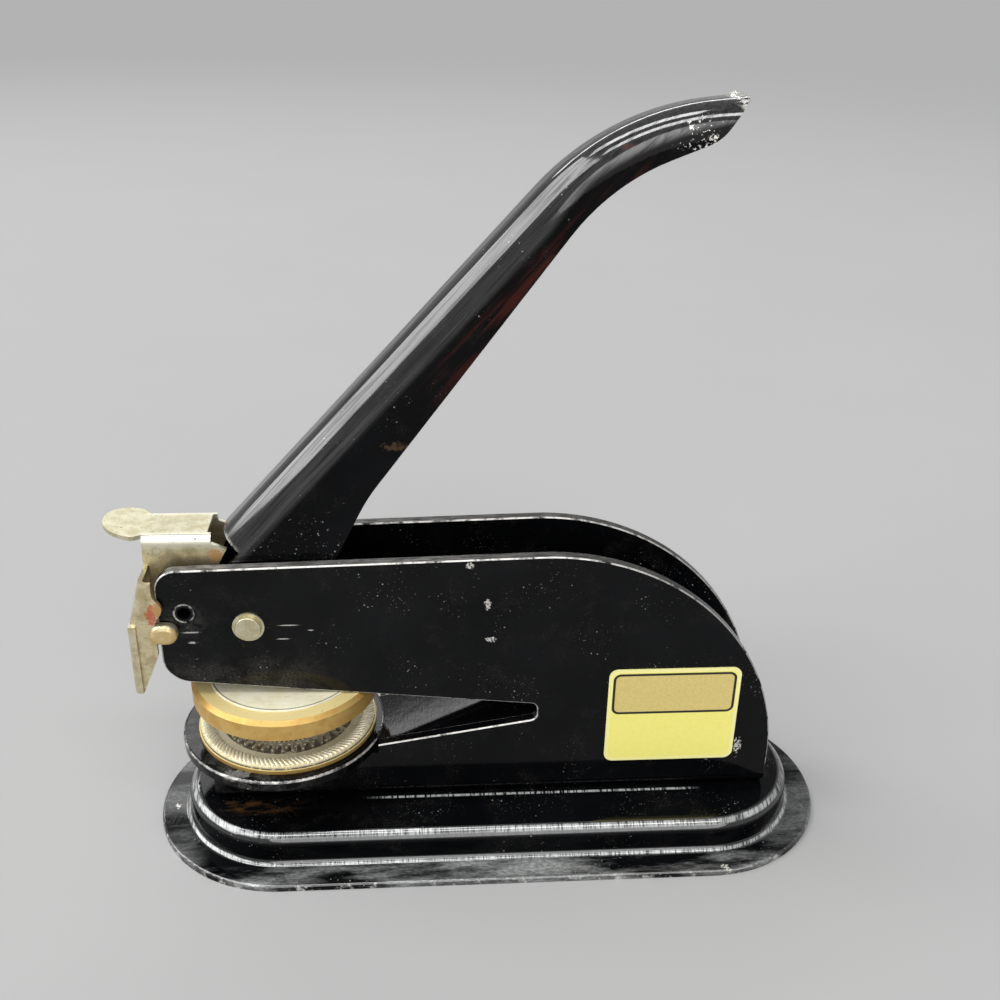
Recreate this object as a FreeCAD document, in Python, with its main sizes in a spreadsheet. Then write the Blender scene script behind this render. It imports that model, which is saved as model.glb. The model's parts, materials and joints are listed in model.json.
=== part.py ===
"""Desk seal embosser: a folded frame on a pressed base, a lever with a cam, a sliding die and a front catch.

Drawn in millimetres with +X to the rear (towards the grip), +Y to the far side and +Z up. Every
outline is drawn from the die axis and the table top; each sub-part is then placed so that the
document's origin lies in the middle of the overall length, on the table.
"""
import FreeCAD
import Part
import math
import os
import re
import Sketcher
from FreeCAD import Placement, Rotation, Vector

DIMENSIONS = [
    # base
    ("base_rear", 123.0, "die axis to the rear end of the base"),
    ("base_front", 30.0, "die axis to the front end of the base"),
    ("base_width", 59.4, "overall width of the base"),
    ("base_sheet", 1.4, "sheet thickness of the base"),
    ("flange_width", 6.7, "flat flange round the base"),
    ("plateau_height", 8.8, "table to the top of the plateau"),
    ("plateau_edge", 2.5, "rounded edge of the plateau"),
    ("flange_bend", 1.5, "bend between flange and wall"),
    ("flange_edge", 0.5, "rounded outer edge of the flange"),
    # frame
    ("frame_width", 21.0, "outer width over the side plates"),
    ("frame_sheet", 2.6, "thickness of the side plates and web"),
    ("frame_bend", 3.2, "outer bend between web and plates"),
    ("frame_rear", 108.6, "die axis to the rear of the frame"),
    ("frame_rear_radius", 52.0, "large round at the rear of the plates"),
    ("frame_rear_height", 70.9, "height of the top line at the rear end"),
    ("nose_front", 23.8, "die axis to the front of the upper arm"),
    ("nose_height", 67.4, "height of the top line at the front"),
    ("nose_top_radius", 4.5, "upper front corner"),
    ("plate_edge", 0.4, "rounded long edges of the side plates"),
    ("nose_bottom", 41.3, "height of the lower front corner"),
    ("nose_bottom_radius", 6.0, "lower front corner radius"),
    ("foot_front", 15.9, "die axis to the front of the lower arm"),
    ("throat_reach", 55.3, "die axis to the end of the throat"),
    ("throat_top", 32.9, "upper edge of the throat at its end"),
    ("throat_bottom", 28.9, "lower edge of the throat at its end"),
    ("throat_radius", 1.5, "corner radius at the end of the throat"),
    # anvil table and counter die
    ("anvil_height", 21.0, "table to the underside of the pan"),
    ("pan_radius", 22.5, "outer radius of the pan"),
    ("pan_shift", 0.8, "middle of the pan in front of the die axis"),
    ("pan_rim", 2.2, "height of the pan's rim"),
    ("pan_floor", 1.0, "thickness of the pan's floor"),
    ("pan_edge", 0.6, "rounded outer edge of the rim"),
    ("table_sheet", 1.6, "thickness of the tail of the table"),
    ("table_step", 2.0, "height of the tail over the pan seat at the step"),
    ("table_gap", 0.2, "gap between the pan and the step"),
    ("counter_radius", 19.4, "outer radius of the counter die"),
    ("counter_height", 2.7, "counter die, floor of the pan to its face"),
    ("counter_bead", 0.6, "height of the border over the face"),
    ("counter_bead_width", 1.9, "width of the border"),
    ("counter_ring_wall", 0.35, "wall of the thin brass ring"),
    ("counter_ring_height", 2.0, "height of the thin brass ring"),
    ("ring_clearance", 0.05, "clearance round dies and rings"),
    ("screw_radius", 1.5, "shank of the counter die screw"),
    ("screw_head_radius", 2.8, "head of the counter die screw"),
    ("screw_head", 1.3, "thickness of the screw head"),
    ("screw_length", 2.8, "shank length of the counter die screw"),
    # pivot, lever and cam
    ("pivot_front", 5.5, "pivot in front of the die axis"),
    ("pivot_height", 54.4, "table to the pivot"),
    ("pin_radius", 2.5, "shank of the pivot pin"),
    ("pin_collar_radius", 3.3, "collars under the heads of the pivot pin"),
    ("pin_collar", 0.5, "thickness of the collars"),
    ("pin_head_radius", 2.7, "heads of the pivot pin"),
    ("pin_head", 1.0, "thickness of the pin heads"),
    ("pin_head_edge", 0.3, "rounded edge of the pin heads"),
    ("bush_wall", 0.65, "wall of the pivot bush"),
    ("running_fit", 0.05, "radial running clearance"),
    ("seat_fit", 0.05, "radial clearance of fixed pins"),
    ("lever_angle", 47.8, "angle of the lever's back at rest, degrees"),
    ("lever_width", 15.0, "outer width of the lever"),
    ("lever_sheet", 1.3, "sheet thickness of the lever"),
    ("lever_back", 16.0, "pivot to the lever's back, square to it"),
    ("lever_crown", 6.0, "round between the lever's back and walls"),
    ("lever_back_start", 10.6, "pivot to the front end of the back"),
    ("lever_shoulder", 4.9, "depth of the end of the back"),
    ("lever_bend_distance", 123.0, "pivot to the corner of the grip bend"),
    ("lever_bend_radius", 50.0, "radius of the grip bend"),
    ("grip_turn", 41.8, "how far the grip turns down, degrees"),
    ("grip_length", 25.1, "bend corner to the tip of the grip"),
    ("grip_end", 9.3, "length of the closed end of the grip"),
    ("grip_end_turn", 3.5, "how far the closed end leans from the back, degrees"),
    ("grip_chin", 8.5, "round under the closed end of the grip"),
    ("grip_waist_distance", 113.9, "pivot to the underside bend of the grip"),
    ("grip_waist_offset", 7.75, "offset of the underside bend"),
    ("skirt_distance", 37.2, "pivot to the flare of the walls"),
    ("skirt_offset", -0.2, "offset of the flare of the walls"),
    ("skirt_radius", 40.0, "radius of the underside bends"),
    ("lever_foot_rear", 5.1, "lever foot behind the pivot"),
    ("lever_foot_depth", 9.2, "lever foot under the pivot"),
    ("lever_foot_front", 8.6, "lever foot in front of the pivot"),
    ("lever_foot_radius", 8.0, "rounding of the lever foot"),
    ("cam_throw", 8.7, "pivot to the centre of the cam lobe"),
    ("cam_angle", 22.0, "cam lobe above the level of the pivot, degrees"),
    ("cam_hub", 4.0, "radius of the cam's hub"),
    ("cam_width", 12.2, "width of the cam"),
    ("cam_rivet_radius", 1.6, "rivet that holds the cam"),
    ("cam_gap", 0.3, "gap between cam and plunger"),
    # die carriage
    ("head_height", 50.1, "table to the top of the plunger at rest"),
    ("head_radius", 5.2, "plunger head radius"),
    ("head_thickness", 1.6, "plunger head thickness"),
    ("stem_radius", 3.0, "plunger stem radius"),
    ("die_top", 37.2, "table to the top of the die holder at rest"),
    ("holder_radius", 16.5, "radius of the die holder"),
    ("holder_height", 3.0, "thickness of the die holder"),
    ("ring_radius", 20.4, "outer radius of the brass die ring"),
    ("ring_top", 36.9, "table to the top of the die ring at rest"),
    ("ring_bottom", 32.4, "table to the underside of the die ring"),
    ("ring_bevel", 0.9, "bevelled lip of the die ring"),
    ("ring_lip", 1.0, "width of the ring round the upper die"),
    ("die_recess", 0.2, "upper die set back from the ring's edge"),
    ("pin_offset", 7.3, "alignment pin behind the die axis"),
    ("align_radius", 0.9, "radius of the alignment pin"),
    ("align_top", 44.4, "table to the top of the alignment pin"),
    # plunger guide and spring
    ("guide_length", 19.0, "length of the plunger guide"),
    ("guide_bottom", 37.9, "table to the underside of the guide"),
    ("guide_top", 43.3, "table to the top of the guide"),
    ("guide_floor", 1.5, "floor under the spring"),
    ("boss_radius", 4.0, "radius of the guide's boss"),
    ("boss_height", 3.8, "height of the guide's boss"),
    ("spring_well", 5.6, "radius of the spring's well"),
    ("spring_radius", 4.75, "mean radius of the spring"),
    ("spring_wire", 0.64, "wire diameter of the spring"),
    ("spring_turns", 3.0, "turns of the spring"),
    # front guide rivet and catch
    ("rivet_front", 18.3, "guide rivet in front of the die axis"),
    ("rivet_height", 57.8, "table to the guide rivet"),
    ("rivet_radius", 2.0, "outer radius of the guide rivet"),
    ("rivet_bore", 1.35, "bore radius of the guide rivet"),
    ("rivet_flare", 0.2, "width and height of the rivet's flare"),
    ("catch_sheet", 0.9, "sheet thickness of the catch"),
    ("catch_width", 11.6, "outer width of the catch channel"),
    ("catch_top", 73.1, "table to the top of the catch"),
    ("catch_edge", 1.8, "round between the catch's top and flanges"),
    ("catch_front", 26.4, "front end of the catch channel"),
    ("catch_rear", 12.5, "rear end of the catch's top"),
    ("catch_cutout", 0.8, "depth of the cut-out in the catch's top"),
    ("catch_horn", 0.7, "width of the top beside the cut-out"),
    ("catch_tail", 3.1, "flanges' tips behind the top's rear end"),
    ("catch_tail_drop", 3.1, "top of the catch to the flanges' tips"),
    ("catch_flange_depth", 9.0, "depth of the catch's flanges"),
    ("tab_reach", 34.8, "die axis to the end of the thumb tab"),
    ("tab_width", 13.0, "width of the thumb tab"),
    ("tab_rise", 1.6, "rise of the thumb tab"),
    ("tab_bend", 12.0, "bend between the catch's top and the tab"),
    ("tab_neck", 1.6, "length of the neck between top and tab"),
    ("tab_neck_radius", 1.5, "rounding of the neck"),
    ("tab_tip", 0.4, "flat left in the middle of the tab's end"),
    ("catch_travel", 2.4, "how far the catch slides"),
    ("catch_leg_rear", 14.2, "rear edge of the catch's legs"),
    ("catch_leg_front", 25.2, "front edge of the catch's legs"),
    ("catch_leg_bottom", 54.2, "lower end of the catch's legs"),
    ("slot_clearance", 0.3, "clearance of the leg slot round the rivet"),
    ("wing_clearance", 0.3, "gap between wings and side plates"),
    ("apron_front", 29.6, "die axis to the front face of the apron"),
    ("apron_bottom", 39.3, "lower end of the apron"),
    ("apron_shoulder", 55.5, "height where the apron leans back"),
    ("apron_top", 67.2, "upper end of the apron"),
    ("lug_reach", 19.7, "die axis to the end of the lugs"),
    ("apron_bend", 2.0, "bend between the apron and its wings"),
    ("apron_shoulder_radius", 3.0, "bend where the apron leans back"),
    ("apron_toe", 1.6, "width of the wings at their lower end"),
    ("apron_step", 65.3, "height where the apron narrows"),
    ("wing_rear", 24.2, "rear edge of the wings above the lugs"),
    ("wing_bulge", 2.2, "how far the wings bulge above the lugs"),
    ("wing_bulge_height", 59.3, "height of the bulge"),
    ("wing_bulge_half", 3.0, "half length of the bulge"),
    ("wing_bulge_margin", 1.0, "least height of wing left above the bulge"),
    ("wing_slope", 3.0, "fall of the wings' lower edge under the lugs"),
    ("lug_height", 53.6, "height of the lugs"),
    ("lug_radius", 2.3, "half height of the lugs"),
    ("lug_length", 5.7, "length of the raised lugs"),
    ("lug_proud", 1.3, "how far the lugs stand out of the wings"),
    ("hem_width", 1.5, "width of the hem down the front of each wing"),
    ("hem_proud", 0.4, "how far the hem stands out of the wing"),
    ("hem_round", 0.6, "rounded lower corner of the hem"),
    ("ear_length", 4.0, "length of the apron's ears inside the catch"),
    ("ear_height", 2.6, "height of the apron's ears"),
    ("ear_round", 0.8, "rounded corners of the ears"),
    ("ear_rivet_radius", 0.8, "rivets that hold the apron to the catch"),
    # label and frame rivets
    ("label_length", 29.3, "label along the plate"),
    ("label_height", 24.4, "label across the plate"),
    ("label_middle", 85.5, "die axis to the middle of the label"),
    ("label_centre_height", 29.3, "table to the middle of the label"),
    ("label_radius", 2.0, "corner radius of the label"),
    ("label_thickness", 0.25, "thickness of the label"),
    ("foot_rivet_radius", 2.0, "shank of the frame rivets"),
    ("foot_rivet_head", 3.6, "head radius of the frame rivets"),
    ("foot_rivet_cap", 1.4, "head thickness of the frame rivets"),
    ("foot_rivet_dome", 0.9, "rounded edge of the rivet heads"),
    ("foot_rivet_first", -5.0, "die axis to the first frame rivet"),
    ("foot_rivet_pitch", 34.0, "pitch of the frame rivets"),
]
FOOT_RIVETS = 4
WIRE_SIDES = 8
NAMES = {alias for alias, _, _ in DIMENSIONS}

doc = FreeCAD.newDocument("seal_embosser")
sheet = doc.addObject("Spreadsheet::Sheet", "Dims")
subparts = []


def write_dimensions():
    """Put every driving dimension in the spreadsheet under its own alias."""
    for row, (alias, value, note) in enumerate(DIMENSIONS, 1):
        sheet.set(f"A{row}", note)
        sheet.set(f"B{row}", str(value))
        sheet.setAlias(f"B{row}", alias)
    doc.recompute()


def bound(text):
    """Turn a formula of plain dimension names into an expression on the spreadsheet."""
    return re.sub(r"[a-z_]+", lambda m: f"Dims.{m[0]}" if m[0] in NAMES else m[0], text)


def value(text):
    """Evaluate a formula of dimension names."""
    return float(sheet.evalExpression(bound(text)))


# Formulas that several sub-parts share.
INNER_HALF = "(frame_width / 2 - frame_sheet)"
PIVOT = ("-pivot_front", "pivot_height")
BUSH_RADIUS = "(pin_radius + running_fit + bush_wall)"
NOTCH_HALF = "(catch_width / 2 - catch_edge / 2 - catch_horn)"
CAM_LOBE = "(pivot_height + cam_throw * sin(cam_angle * 1deg) - head_height - cam_gap)"
PAN_STEP = f"(sqrt(pan_radius ^ 2 - {INNER_HALF} ^ 2) - pan_shift + table_gap)"
THROAT_SLOPE = ("((throat_bottom - anvil_height - table_step)"
                f" / (throat_reach - {PAN_STEP}))")
PAN_FACE = "(anvil_height + pan_floor)"
RECESS = "(counter_radius + counter_ring_wall + 2 * ring_clearance)"
UPPER_DIE_RADIUS = "(ring_radius - ring_lip - ring_clearance)"
HOLDER_BOTTOM = "(die_top - holder_height)"
CATCH_STRIP = "catch_front"
EAR_HALF = "(catch_width / 2 - catch_sheet - seat_fit)"
EAR_MIDDLE = "((apron_top + catch_top - catch_sheet) / 2)"
WING_HALF = "(frame_width / 2 + wing_clearance + catch_sheet)"


# ---------------------------------------------------------------- sketch and feature helpers
def new_body(name):
    return doc.addObject("PartDesign::Body", name)


def new_sketch(body, plane, offset="0", centre=("0", "0"), turn="0"):
    """A sketch on one of the body's origin planes, raised by offset, moved to centre and turned."""
    sketch = body.newObject("Sketcher::SketchObject", "Sketch")
    support = [item for item in body.Origin.OriginFeatures if item.Role == plane][0]
    sketch.AttachmentSupport = (support, [""])
    sketch.MapMode = "FlatFace"
    place = Vector(value(centre[0]), value(centre[1]), value(offset))
    sketch.AttachmentOffset = Placement(place, Rotation(Vector(0, 0, 1), value(turn)))
    for axis, formula in zip("xyz", (*centre, offset)):
        sketch.setExpression(f"AttachmentOffset.Base.{axis}", bound(formula))
    if turn != "0":
        sketch.setExpression("AttachmentOffset.Rotation.Angle", bound(turn))
    return sketch


def dimension(sketch, constraint, formula):
    index = sketch.addConstraint(constraint)
    sketch.setExpression(f"Constraints[{index}]", bound(formula))


def fix_point(sketch, geometry, end, place):
    """Tie a point of the sketch to its two coordinates, given as formulas."""
    x, y = place
    dimension(sketch, Sketcher.Constraint("DistanceX", -1, 1, geometry, end, value(x)), x)
    dimension(sketch, Sketcher.Constraint("DistanceY", -1, 1, geometry, end, value(y)), y)


def add_circle(sketch, centre, radius):
    middle = Vector(value(centre[0]), value(centre[1]), 0)
    circle = sketch.addGeometry(Part.Circle(middle, Vector(0, 0, 1), value(radius)))
    fix_point(sketch, circle, 3, centre)
    dimension(sketch, Sketcher.Constraint("Radius", circle, value(radius)), radius)


def add_stadium(sketch, front, rear, half):
    """Two full half-rounds joined by straight sides, on the sketch's horizontal axis."""
    low, high, r = value(front), value(rear), value(half)
    ends = []
    for middle, first in ((low + r, math.pi / 2), (high - r, -math.pi / 2)):
        circle = Part.Circle(Vector(middle, 0, 0), Vector(0, 0, 1), r)
        ends.append(sketch.addGeometry(Part.ArcOfCircle(circle, first, first + math.pi)))
    lower = sketch.addGeometry(Part.LineSegment(Vector(low + r, -r, 0), Vector(high - r, -r, 0)))
    upper = sketch.addGeometry(Part.LineSegment(Vector(high - r, r, 0), Vector(low + r, r, 0)))
    for first, end, second, start in ((ends[0], 2, lower, 1), (lower, 2, ends[1], 1),
                                      (ends[1], 2, upper, 1), (upper, 2, ends[0], 1)):
        sketch.addConstraint(Sketcher.Constraint("Tangent", first, end, second, start))
    sketch.addConstraint(Sketcher.Constraint("Equal", ends[0], ends[1]))
    dimension(sketch, Sketcher.Constraint("Radius", ends[0], r), half)
    for arc, middle, formula in ((ends[0], low + r, f"{front} + {half}"),
                                 (ends[1], high - r, f"{rear} - {half}")):
        sketch.addConstraint(Sketcher.Constraint("PointOnObject", arc, 3, -1))
        dimension(sketch, Sketcher.Constraint("DistanceX", -1, 1, arc, 3, middle), formula)


def add_outline(sketch, corners):
    """A closed outline of straight runs; a corner with a radius is rounded by a tangent arc.

    Each corner is (x, y) or (x, y, radius), all given as formulas of the dimensions.
    """
    count = len(corners)
    places = [Vector(value(corner[0]), value(corner[1]), 0) for corner in corners]
    enter, leave, rounds = list(places), list(places), {}
    for i, corner in enumerate(corners):
        if len(corner) == 3:
            back = (places[i - 1] - places[i]).normalize()
            ahead = (places[(i + 1) % count] - places[i]).normalize()
            half = back.getAngle(ahead) / 2
            radius = value(corner[2])
            enter[i] = places[i] + back * (radius / math.tan(half))
            leave[i] = places[i] + ahead * (radius / math.tan(half))
            centre = places[i] + (back + ahead).normalize() * (radius / math.sin(half))
            rounds[i] = (centre, radius, back.cross(ahead).z < 0)
    lines = [sketch.addGeometry(Part.LineSegment(leave[i], enter[(i + 1) % count]))
             for i in range(count)]
    for i, corner in enumerate(corners):
        before, after = lines[i - 1], lines[i]
        if i not in rounds:
            sketch.addConstraint(Sketcher.Constraint("Coincident", before, 2, after, 1))
            fix_point(sketch, after, 1, corner)
            continue
        centre, radius, left_turn = rounds[i]
        first, last = (enter[i], leave[i]) if left_turn else (leave[i], enter[i])
        start = math.atan2(first.y - centre.y, first.x - centre.x)
        stop = math.atan2(last.y - centre.y, last.x - centre.x)
        if stop < start:
            stop += 2 * math.pi
        circle = Part.Circle(centre, Vector(0, 0, 1), radius)
        arc = sketch.addGeometry(Part.ArcOfCircle(circle, start, stop))
        near, far = (1, 2) if left_turn else (2, 1)
        sketch.addConstraint(Sketcher.Constraint("Tangent", before, 2, arc, near))
        sketch.addConstraint(Sketcher.Constraint("Tangent", arc, far, after, 1))
        dimension(sketch, Sketcher.Constraint("Radius", arc, radius), corner[2])
        mark = sketch.addGeometry(Part.Point(places[i]), True)
        fix_point(sketch, mark, 1, corner[:2])
        sketch.addConstraint(Sketcher.Constraint("PointOnObject", mark, 1, before))
        sketch.addConstraint(Sketcher.Constraint("PointOnObject", mark, 1, after))


def pad(body, sketch, length, symmetric=False, downwards=False):
    feature = body.newObject("PartDesign::Pad", "Pad")
    feature.Profile = sketch
    feature.setExpression("Length", bound(length))
    feature.SideType = "Symmetric" if symmetric else "One side"
    feature.Reversed = downwards
    sketch.Visibility = False
    return feature


def pocket(body, sketch, depth=None, symmetric=False, upwards=False):
    """Cut away the sketch to a depth, or right through both ways when no depth is given."""
    feature = body.newObject("PartDesign::Pocket", "Pocket")
    feature.Profile = sketch
    feature.setExpression("Length", bound(depth or "base_rear + base_front"))
    feature.SideType = "Symmetric" if symmetric or depth is None else "One side"
    feature.Reversed = upwards
    return feature


def turned(body, corners, axis="0"):
    """Revolve a half section (radius, height) about the die axis, or another upright axis."""
    sketch = new_sketch(body, "XZ_Plane", centre=(axis, "0"))
    add_outline(sketch, corners)
    feature = body.newObject("PartDesign::Revolution", "Revolution")
    feature.Profile = sketch
    feature.ReferenceAxis = (sketch, ["V_Axis"])
    feature.Angle = 360
    return feature


def round_edges(body, radius, wanted):
    """Fillet the edges of the body's tip whose bounding box passes the test."""
    doc.recompute()
    tip = body.Tip
    names = [f"Edge{i}" for i, edge in enumerate(tip.Shape.Edges, 1) if wanted(edge.BoundBox)]
    if not names:
        raise RuntimeError(f"no edge to round on {body.Name}")
    feature = body.newObject("PartDesign::Fillet", "Fillet")
    feature.Base = (tip, names)
    feature.setExpression("Radius", bound(radius))
    return feature


def near(a, b, slack=0.02):
    return abs(a - b) < slack


def cross_disc(body, centre, radius, start, length):
    """A disc across the object, from y = start outwards to the near side by length."""
    sketch = new_sketch(body, "XZ_Plane", offset=start)
    add_circle(sketch, centre, radius)
    return pad(body, sketch, length)


def cross_hole(body, centre, radius):
    sketch = new_sketch(body, "XZ_Plane")
    add_circle(sketch, centre, radius)
    return pocket(body, sketch)


def boolean(kind, name, *members):
    feature = doc.addObject(f"Part::{kind}", name)
    if kind == "MultiFuse":
        feature.Shapes = list(members)
    else:
        feature.Base, feature.Tool = members
    return feature


def finish(feature, node):
    """Name a finished sub-part and place it in the object's own frame."""
    feature.Label = node
    feature.setExpression("Placement.Base.x", bound("(tab_reach - base_rear) / 2"))
    subparts.append(feature)


# ---------------------------------------------------------------- the stand
def build_base():
    """Pressed foot: a flat flange and a raised plateau, hollow underneath."""
    body = new_body("base_body")
    flange = new_sketch(body, "XY_Plane")
    add_stadium(flange, "-base_front", "base_rear", "base_width / 2")
    pad(body, flange, "base_sheet")
    raised = new_sketch(body, "XY_Plane")
    add_stadium(raised, "-base_front + flange_width", "base_rear - flange_width",
                "(base_width / 2 - flange_width)")
    pad(body, raised, "plateau_height")
    round_edges(body, "plateau_edge",
                lambda box: near(box.ZMin, value("plateau_height")) and near(box.ZLength, 0))
    rim = value("base_width / 2")
    round_edges(body, "flange_edge",
                lambda box: near(box.ZMax, value("base_sheet")) and near(box.ZLength, 0)
                and near(max(abs(box.YMin), box.YMax), rim))
    wall = value("base_width / 2 - flange_width")
    round_edges(body, "flange_bend",
                lambda box: near(box.ZMax, value("base_sheet")) and near(box.ZLength, 0)
                and max(abs(box.YMin), box.YMax) < wall + 0.5)
    hollow = new_sketch(body, "XY_Plane")
    add_stadium(hollow, "-base_front + flange_width + base_sheet",
                "base_rear - flange_width - base_sheet",
                "(base_width / 2 - flange_width - base_sheet)")
    pocket(body, hollow, "plateau_height - base_sheet", upwards=True)
    roof = value("plateau_height - base_sheet")
    round_edges(body, "plateau_edge - base_sheet",
                lambda box: near(box.ZMin, roof) and near(box.ZLength, 0))
    cut_foot_rivet_holes(body)
    finish(body, "base")


def cut_foot_rivet_holes(body):
    sketch = new_sketch(body, "XY_Plane")
    for i in range(FOOT_RIVETS):
        add_circle(sketch, (f"foot_rivet_first + {i} * foot_rivet_pitch", "0"),
                   "foot_rivet_radius + seat_fit")
    pocket(body, sketch)


def build_foot_rivets():
    """The rivets that hold the frame to the base, as one group of separate solids."""
    rivets = []
    for i in range(FOOT_RIVETS):
        body = new_body(f"foot_rivet_{i + 1}")
        spot = (f"foot_rivet_first + {i} * foot_rivet_pitch", "0")
        for radius, start, length in (
                ("foot_rivet_head", "plateau_height - base_sheet - foot_rivet_cap",
                 "foot_rivet_cap"),
                ("foot_rivet_radius", "plateau_height - base_sheet", "base_sheet + frame_sheet"),
                ("foot_rivet_head", "plateau_height + frame_sheet", "foot_rivet_cap")):
            sketch = new_sketch(body, "XY_Plane", offset=start)
            add_circle(sketch, spot, radius)
            pad(body, sketch, length)
        ends = (value("plateau_height - base_sheet - foot_rivet_cap"),
                value("plateau_height + frame_sheet + foot_rivet_cap"))
        round_edges(body, "foot_rivet_dome",
                    lambda box: near(box.ZLength, 0) and (near(box.ZMin, ends[0])
                                                          or near(box.ZMin, ends[1])))
        rivets.append(body)
    group = doc.addObject("Part::Compound", "foot_rivets_group")
    group.Links = rivets
    finish(group, "foot_rivets")


def build_frame():
    """One folded sheet: the web on the base and two side plates with the throat cut in."""
    body = new_body("frame_body")
    side = new_sketch(body, "XZ_Plane")
    add_outline(side, [
        ("-foot_front", "plateau_height"),
        ("frame_rear", "plateau_height"),
        ("frame_rear", "frame_rear_height", "frame_rear_radius"),
        ("-nose_front", "nose_height", "nose_top_radius"),
        ("-nose_front", "nose_bottom", "nose_bottom_radius"),
        ("throat_reach", "throat_top", "throat_radius"),
        ("throat_reach", "throat_bottom", "throat_radius"),
        (PAN_STEP, "anvil_height + table_step"),
        (PAN_STEP, "anvil_height"),
        ("-foot_front", "anvil_height"),
    ])
    pad(body, side, "frame_width", symmetric=True)
    round_edges(body, "frame_bend",
                lambda box: near(box.ZMax, value("plateau_height"))
                and near(abs(box.YMin), value("frame_width / 2"))
                and near(box.YLength, 0) and box.XLength > 1)
    channel = new_sketch(body, "YZ_Plane")
    bottom = "plateau_height + frame_sheet"
    add_outline(channel, [
        (f"-{INNER_HALF}", bottom, "frame_bend - frame_sheet"),
        (INNER_HALF, bottom, "frame_bend - frame_sheet"),
        (INNER_HALF, "frame_rear_height * 2"),
        (f"-{INNER_HALF}", "frame_rear_height * 2"),
    ])
    through = pocket(body, channel)
    through.setExpression("Length", bound("2 * (base_rear + base_front)"))
    sides = (value("frame_width / 2"), value(INNER_HALF))
    low = value("anvil_height + table_step")
    round_edges(body, "plate_edge",
                lambda box: near(box.YLength, 0) and any(near(abs(box.YMin), y) for y in sides)
                and (box.ZMax > low + 1 or box.ZMin > low) and box.ZMax - box.ZMin + box.XLength > 1
                and not (near(box.XLength, 0) and box.ZMin < low))
    cross_hole(body, PIVOT, "pin_radius + seat_fit")
    cross_hole(body, ("-rivet_front", "rivet_height"), "rivet_radius + seat_fit")
    cut_foot_rivet_holes(body)
    finish(body, "frame")


def build_anvil_table():
    """Round pan under the dies, with a tail that slopes up between the side plates."""
    body = new_body("anvil_body")
    rim = "anvil_height + pan_rim"
    turned(body, [
        ("0", "anvil_height"),
        ("pan_radius", "anvil_height"),
        ("pan_radius", rim, "pan_edge"),
        ("0", rim),
    ], "-pan_shift")
    recess = new_sketch(body, "XY_Plane", offset=rim)
    add_circle(recess, ("0", "0"), RECESS)
    pocket(body, recess, "pan_rim - pan_floor")
    hole = new_sketch(body, "XY_Plane")
    add_circle(hole, ("0", "0"), "screw_radius + seat_fit")
    pocket(body, hole)
    tail = new_sketch(body, "XZ_Plane")
    start = f"({RECESS} + running_fit)"
    top_start = f"anvil_height + table_step - ({PAN_STEP} - {start}) * {THROAT_SLOPE}"
    add_outline(tail, [
        (start, top_start),
        (start, f"{top_start} - table_sheet"),
        ("throat_reach", "throat_bottom - table_sheet"),
        ("throat_reach", "throat_bottom"),
    ])
    pad(body, tail, f"2 * {INNER_HALF}", symmetric=True)
    finish(body, "anvil_table")


def build_counter_parts():
    """Counter die with a raised border, its thin brass ring and the screw from below."""
    die = new_body("counter_die_body")
    face = f"{PAN_FACE} + counter_height"
    inner = "(counter_radius - counter_bead_width)"
    blind = f"{PAN_FACE} + screw_length - pan_floor + seat_fit"
    turned(die, [
        ("screw_radius + seat_fit", PAN_FACE),
        ("counter_radius", PAN_FACE),
        ("counter_radius", face),
        ("counter_radius - counter_bead_width / 4", f"{face} + counter_bead"),
        (f"{inner} + counter_bead_width / 4", f"{face} + counter_bead"),
        (inner, face),
        ("0", face),
        ("0", blind),
        ("screw_radius + seat_fit", blind),
    ])
    finish(die, "counter_die")
    ring = new_body("counter_ring_body")
    inner = "counter_radius + ring_clearance"
    outer = "counter_radius + ring_clearance + counter_ring_wall"
    turned(ring, [
        (inner, PAN_FACE),
        (outer, PAN_FACE),
        (outer, f"{PAN_FACE} + counter_ring_height"),
        (inner, f"{PAN_FACE} + counter_ring_height"),
    ])
    finish(ring, "counter_ring")
    screw = new_body("counter_screw_body")
    turned(screw, [
        ("0", "anvil_height - screw_head"),
        ("screw_head_radius", "anvil_height - screw_head"),
        ("screw_head_radius", "anvil_height"),
        ("screw_radius", "anvil_height"),
        ("screw_radius", "anvil_height + screw_length"),
        ("0", "anvil_height + screw_length"),
    ])
    finish(screw, "counter_screw")


def build_pivot_pin():
    body = new_body("pivot_pin_body")
    cross_disc(body, PIVOT, "pin_radius", "-frame_width / 2", "frame_width")
    for radius, thickness in (("pin_collar_radius", "pin_collar"),
                              ("pin_head_radius", "(pin_collar + pin_head)")):
        cross_disc(body, PIVOT, radius, "frame_width / 2", thickness)
        cross_disc(body, PIVOT, radius, f"-frame_width / 2 - {thickness}", thickness)
    end = value("frame_width / 2 + pin_collar + pin_head")
    round_edges(body, "pin_head_edge",
                lambda box: near(box.YLength, 0) and near(abs(box.YMin), end))
    finish(body, "pivot_pin")


def build_guide_rivet():
    """Hollow rivet across the nose, flared at both ends; the catch's legs run on it."""
    body = new_body("guide_rivet_body")
    spot = ("-rivet_front", "rivet_height")
    cross_disc(body, spot, "rivet_radius", "-frame_width / 2", "frame_width")
    cross_disc(body, spot, "rivet_radius + rivet_flare", "frame_width / 2", "rivet_flare")
    cross_disc(body, spot, "rivet_radius + rivet_flare", "-frame_width / 2 - rivet_flare",
               "rivet_flare")
    cross_hole(body, spot, "rivet_bore")
    finish(body, "guide_rivet")


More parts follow.
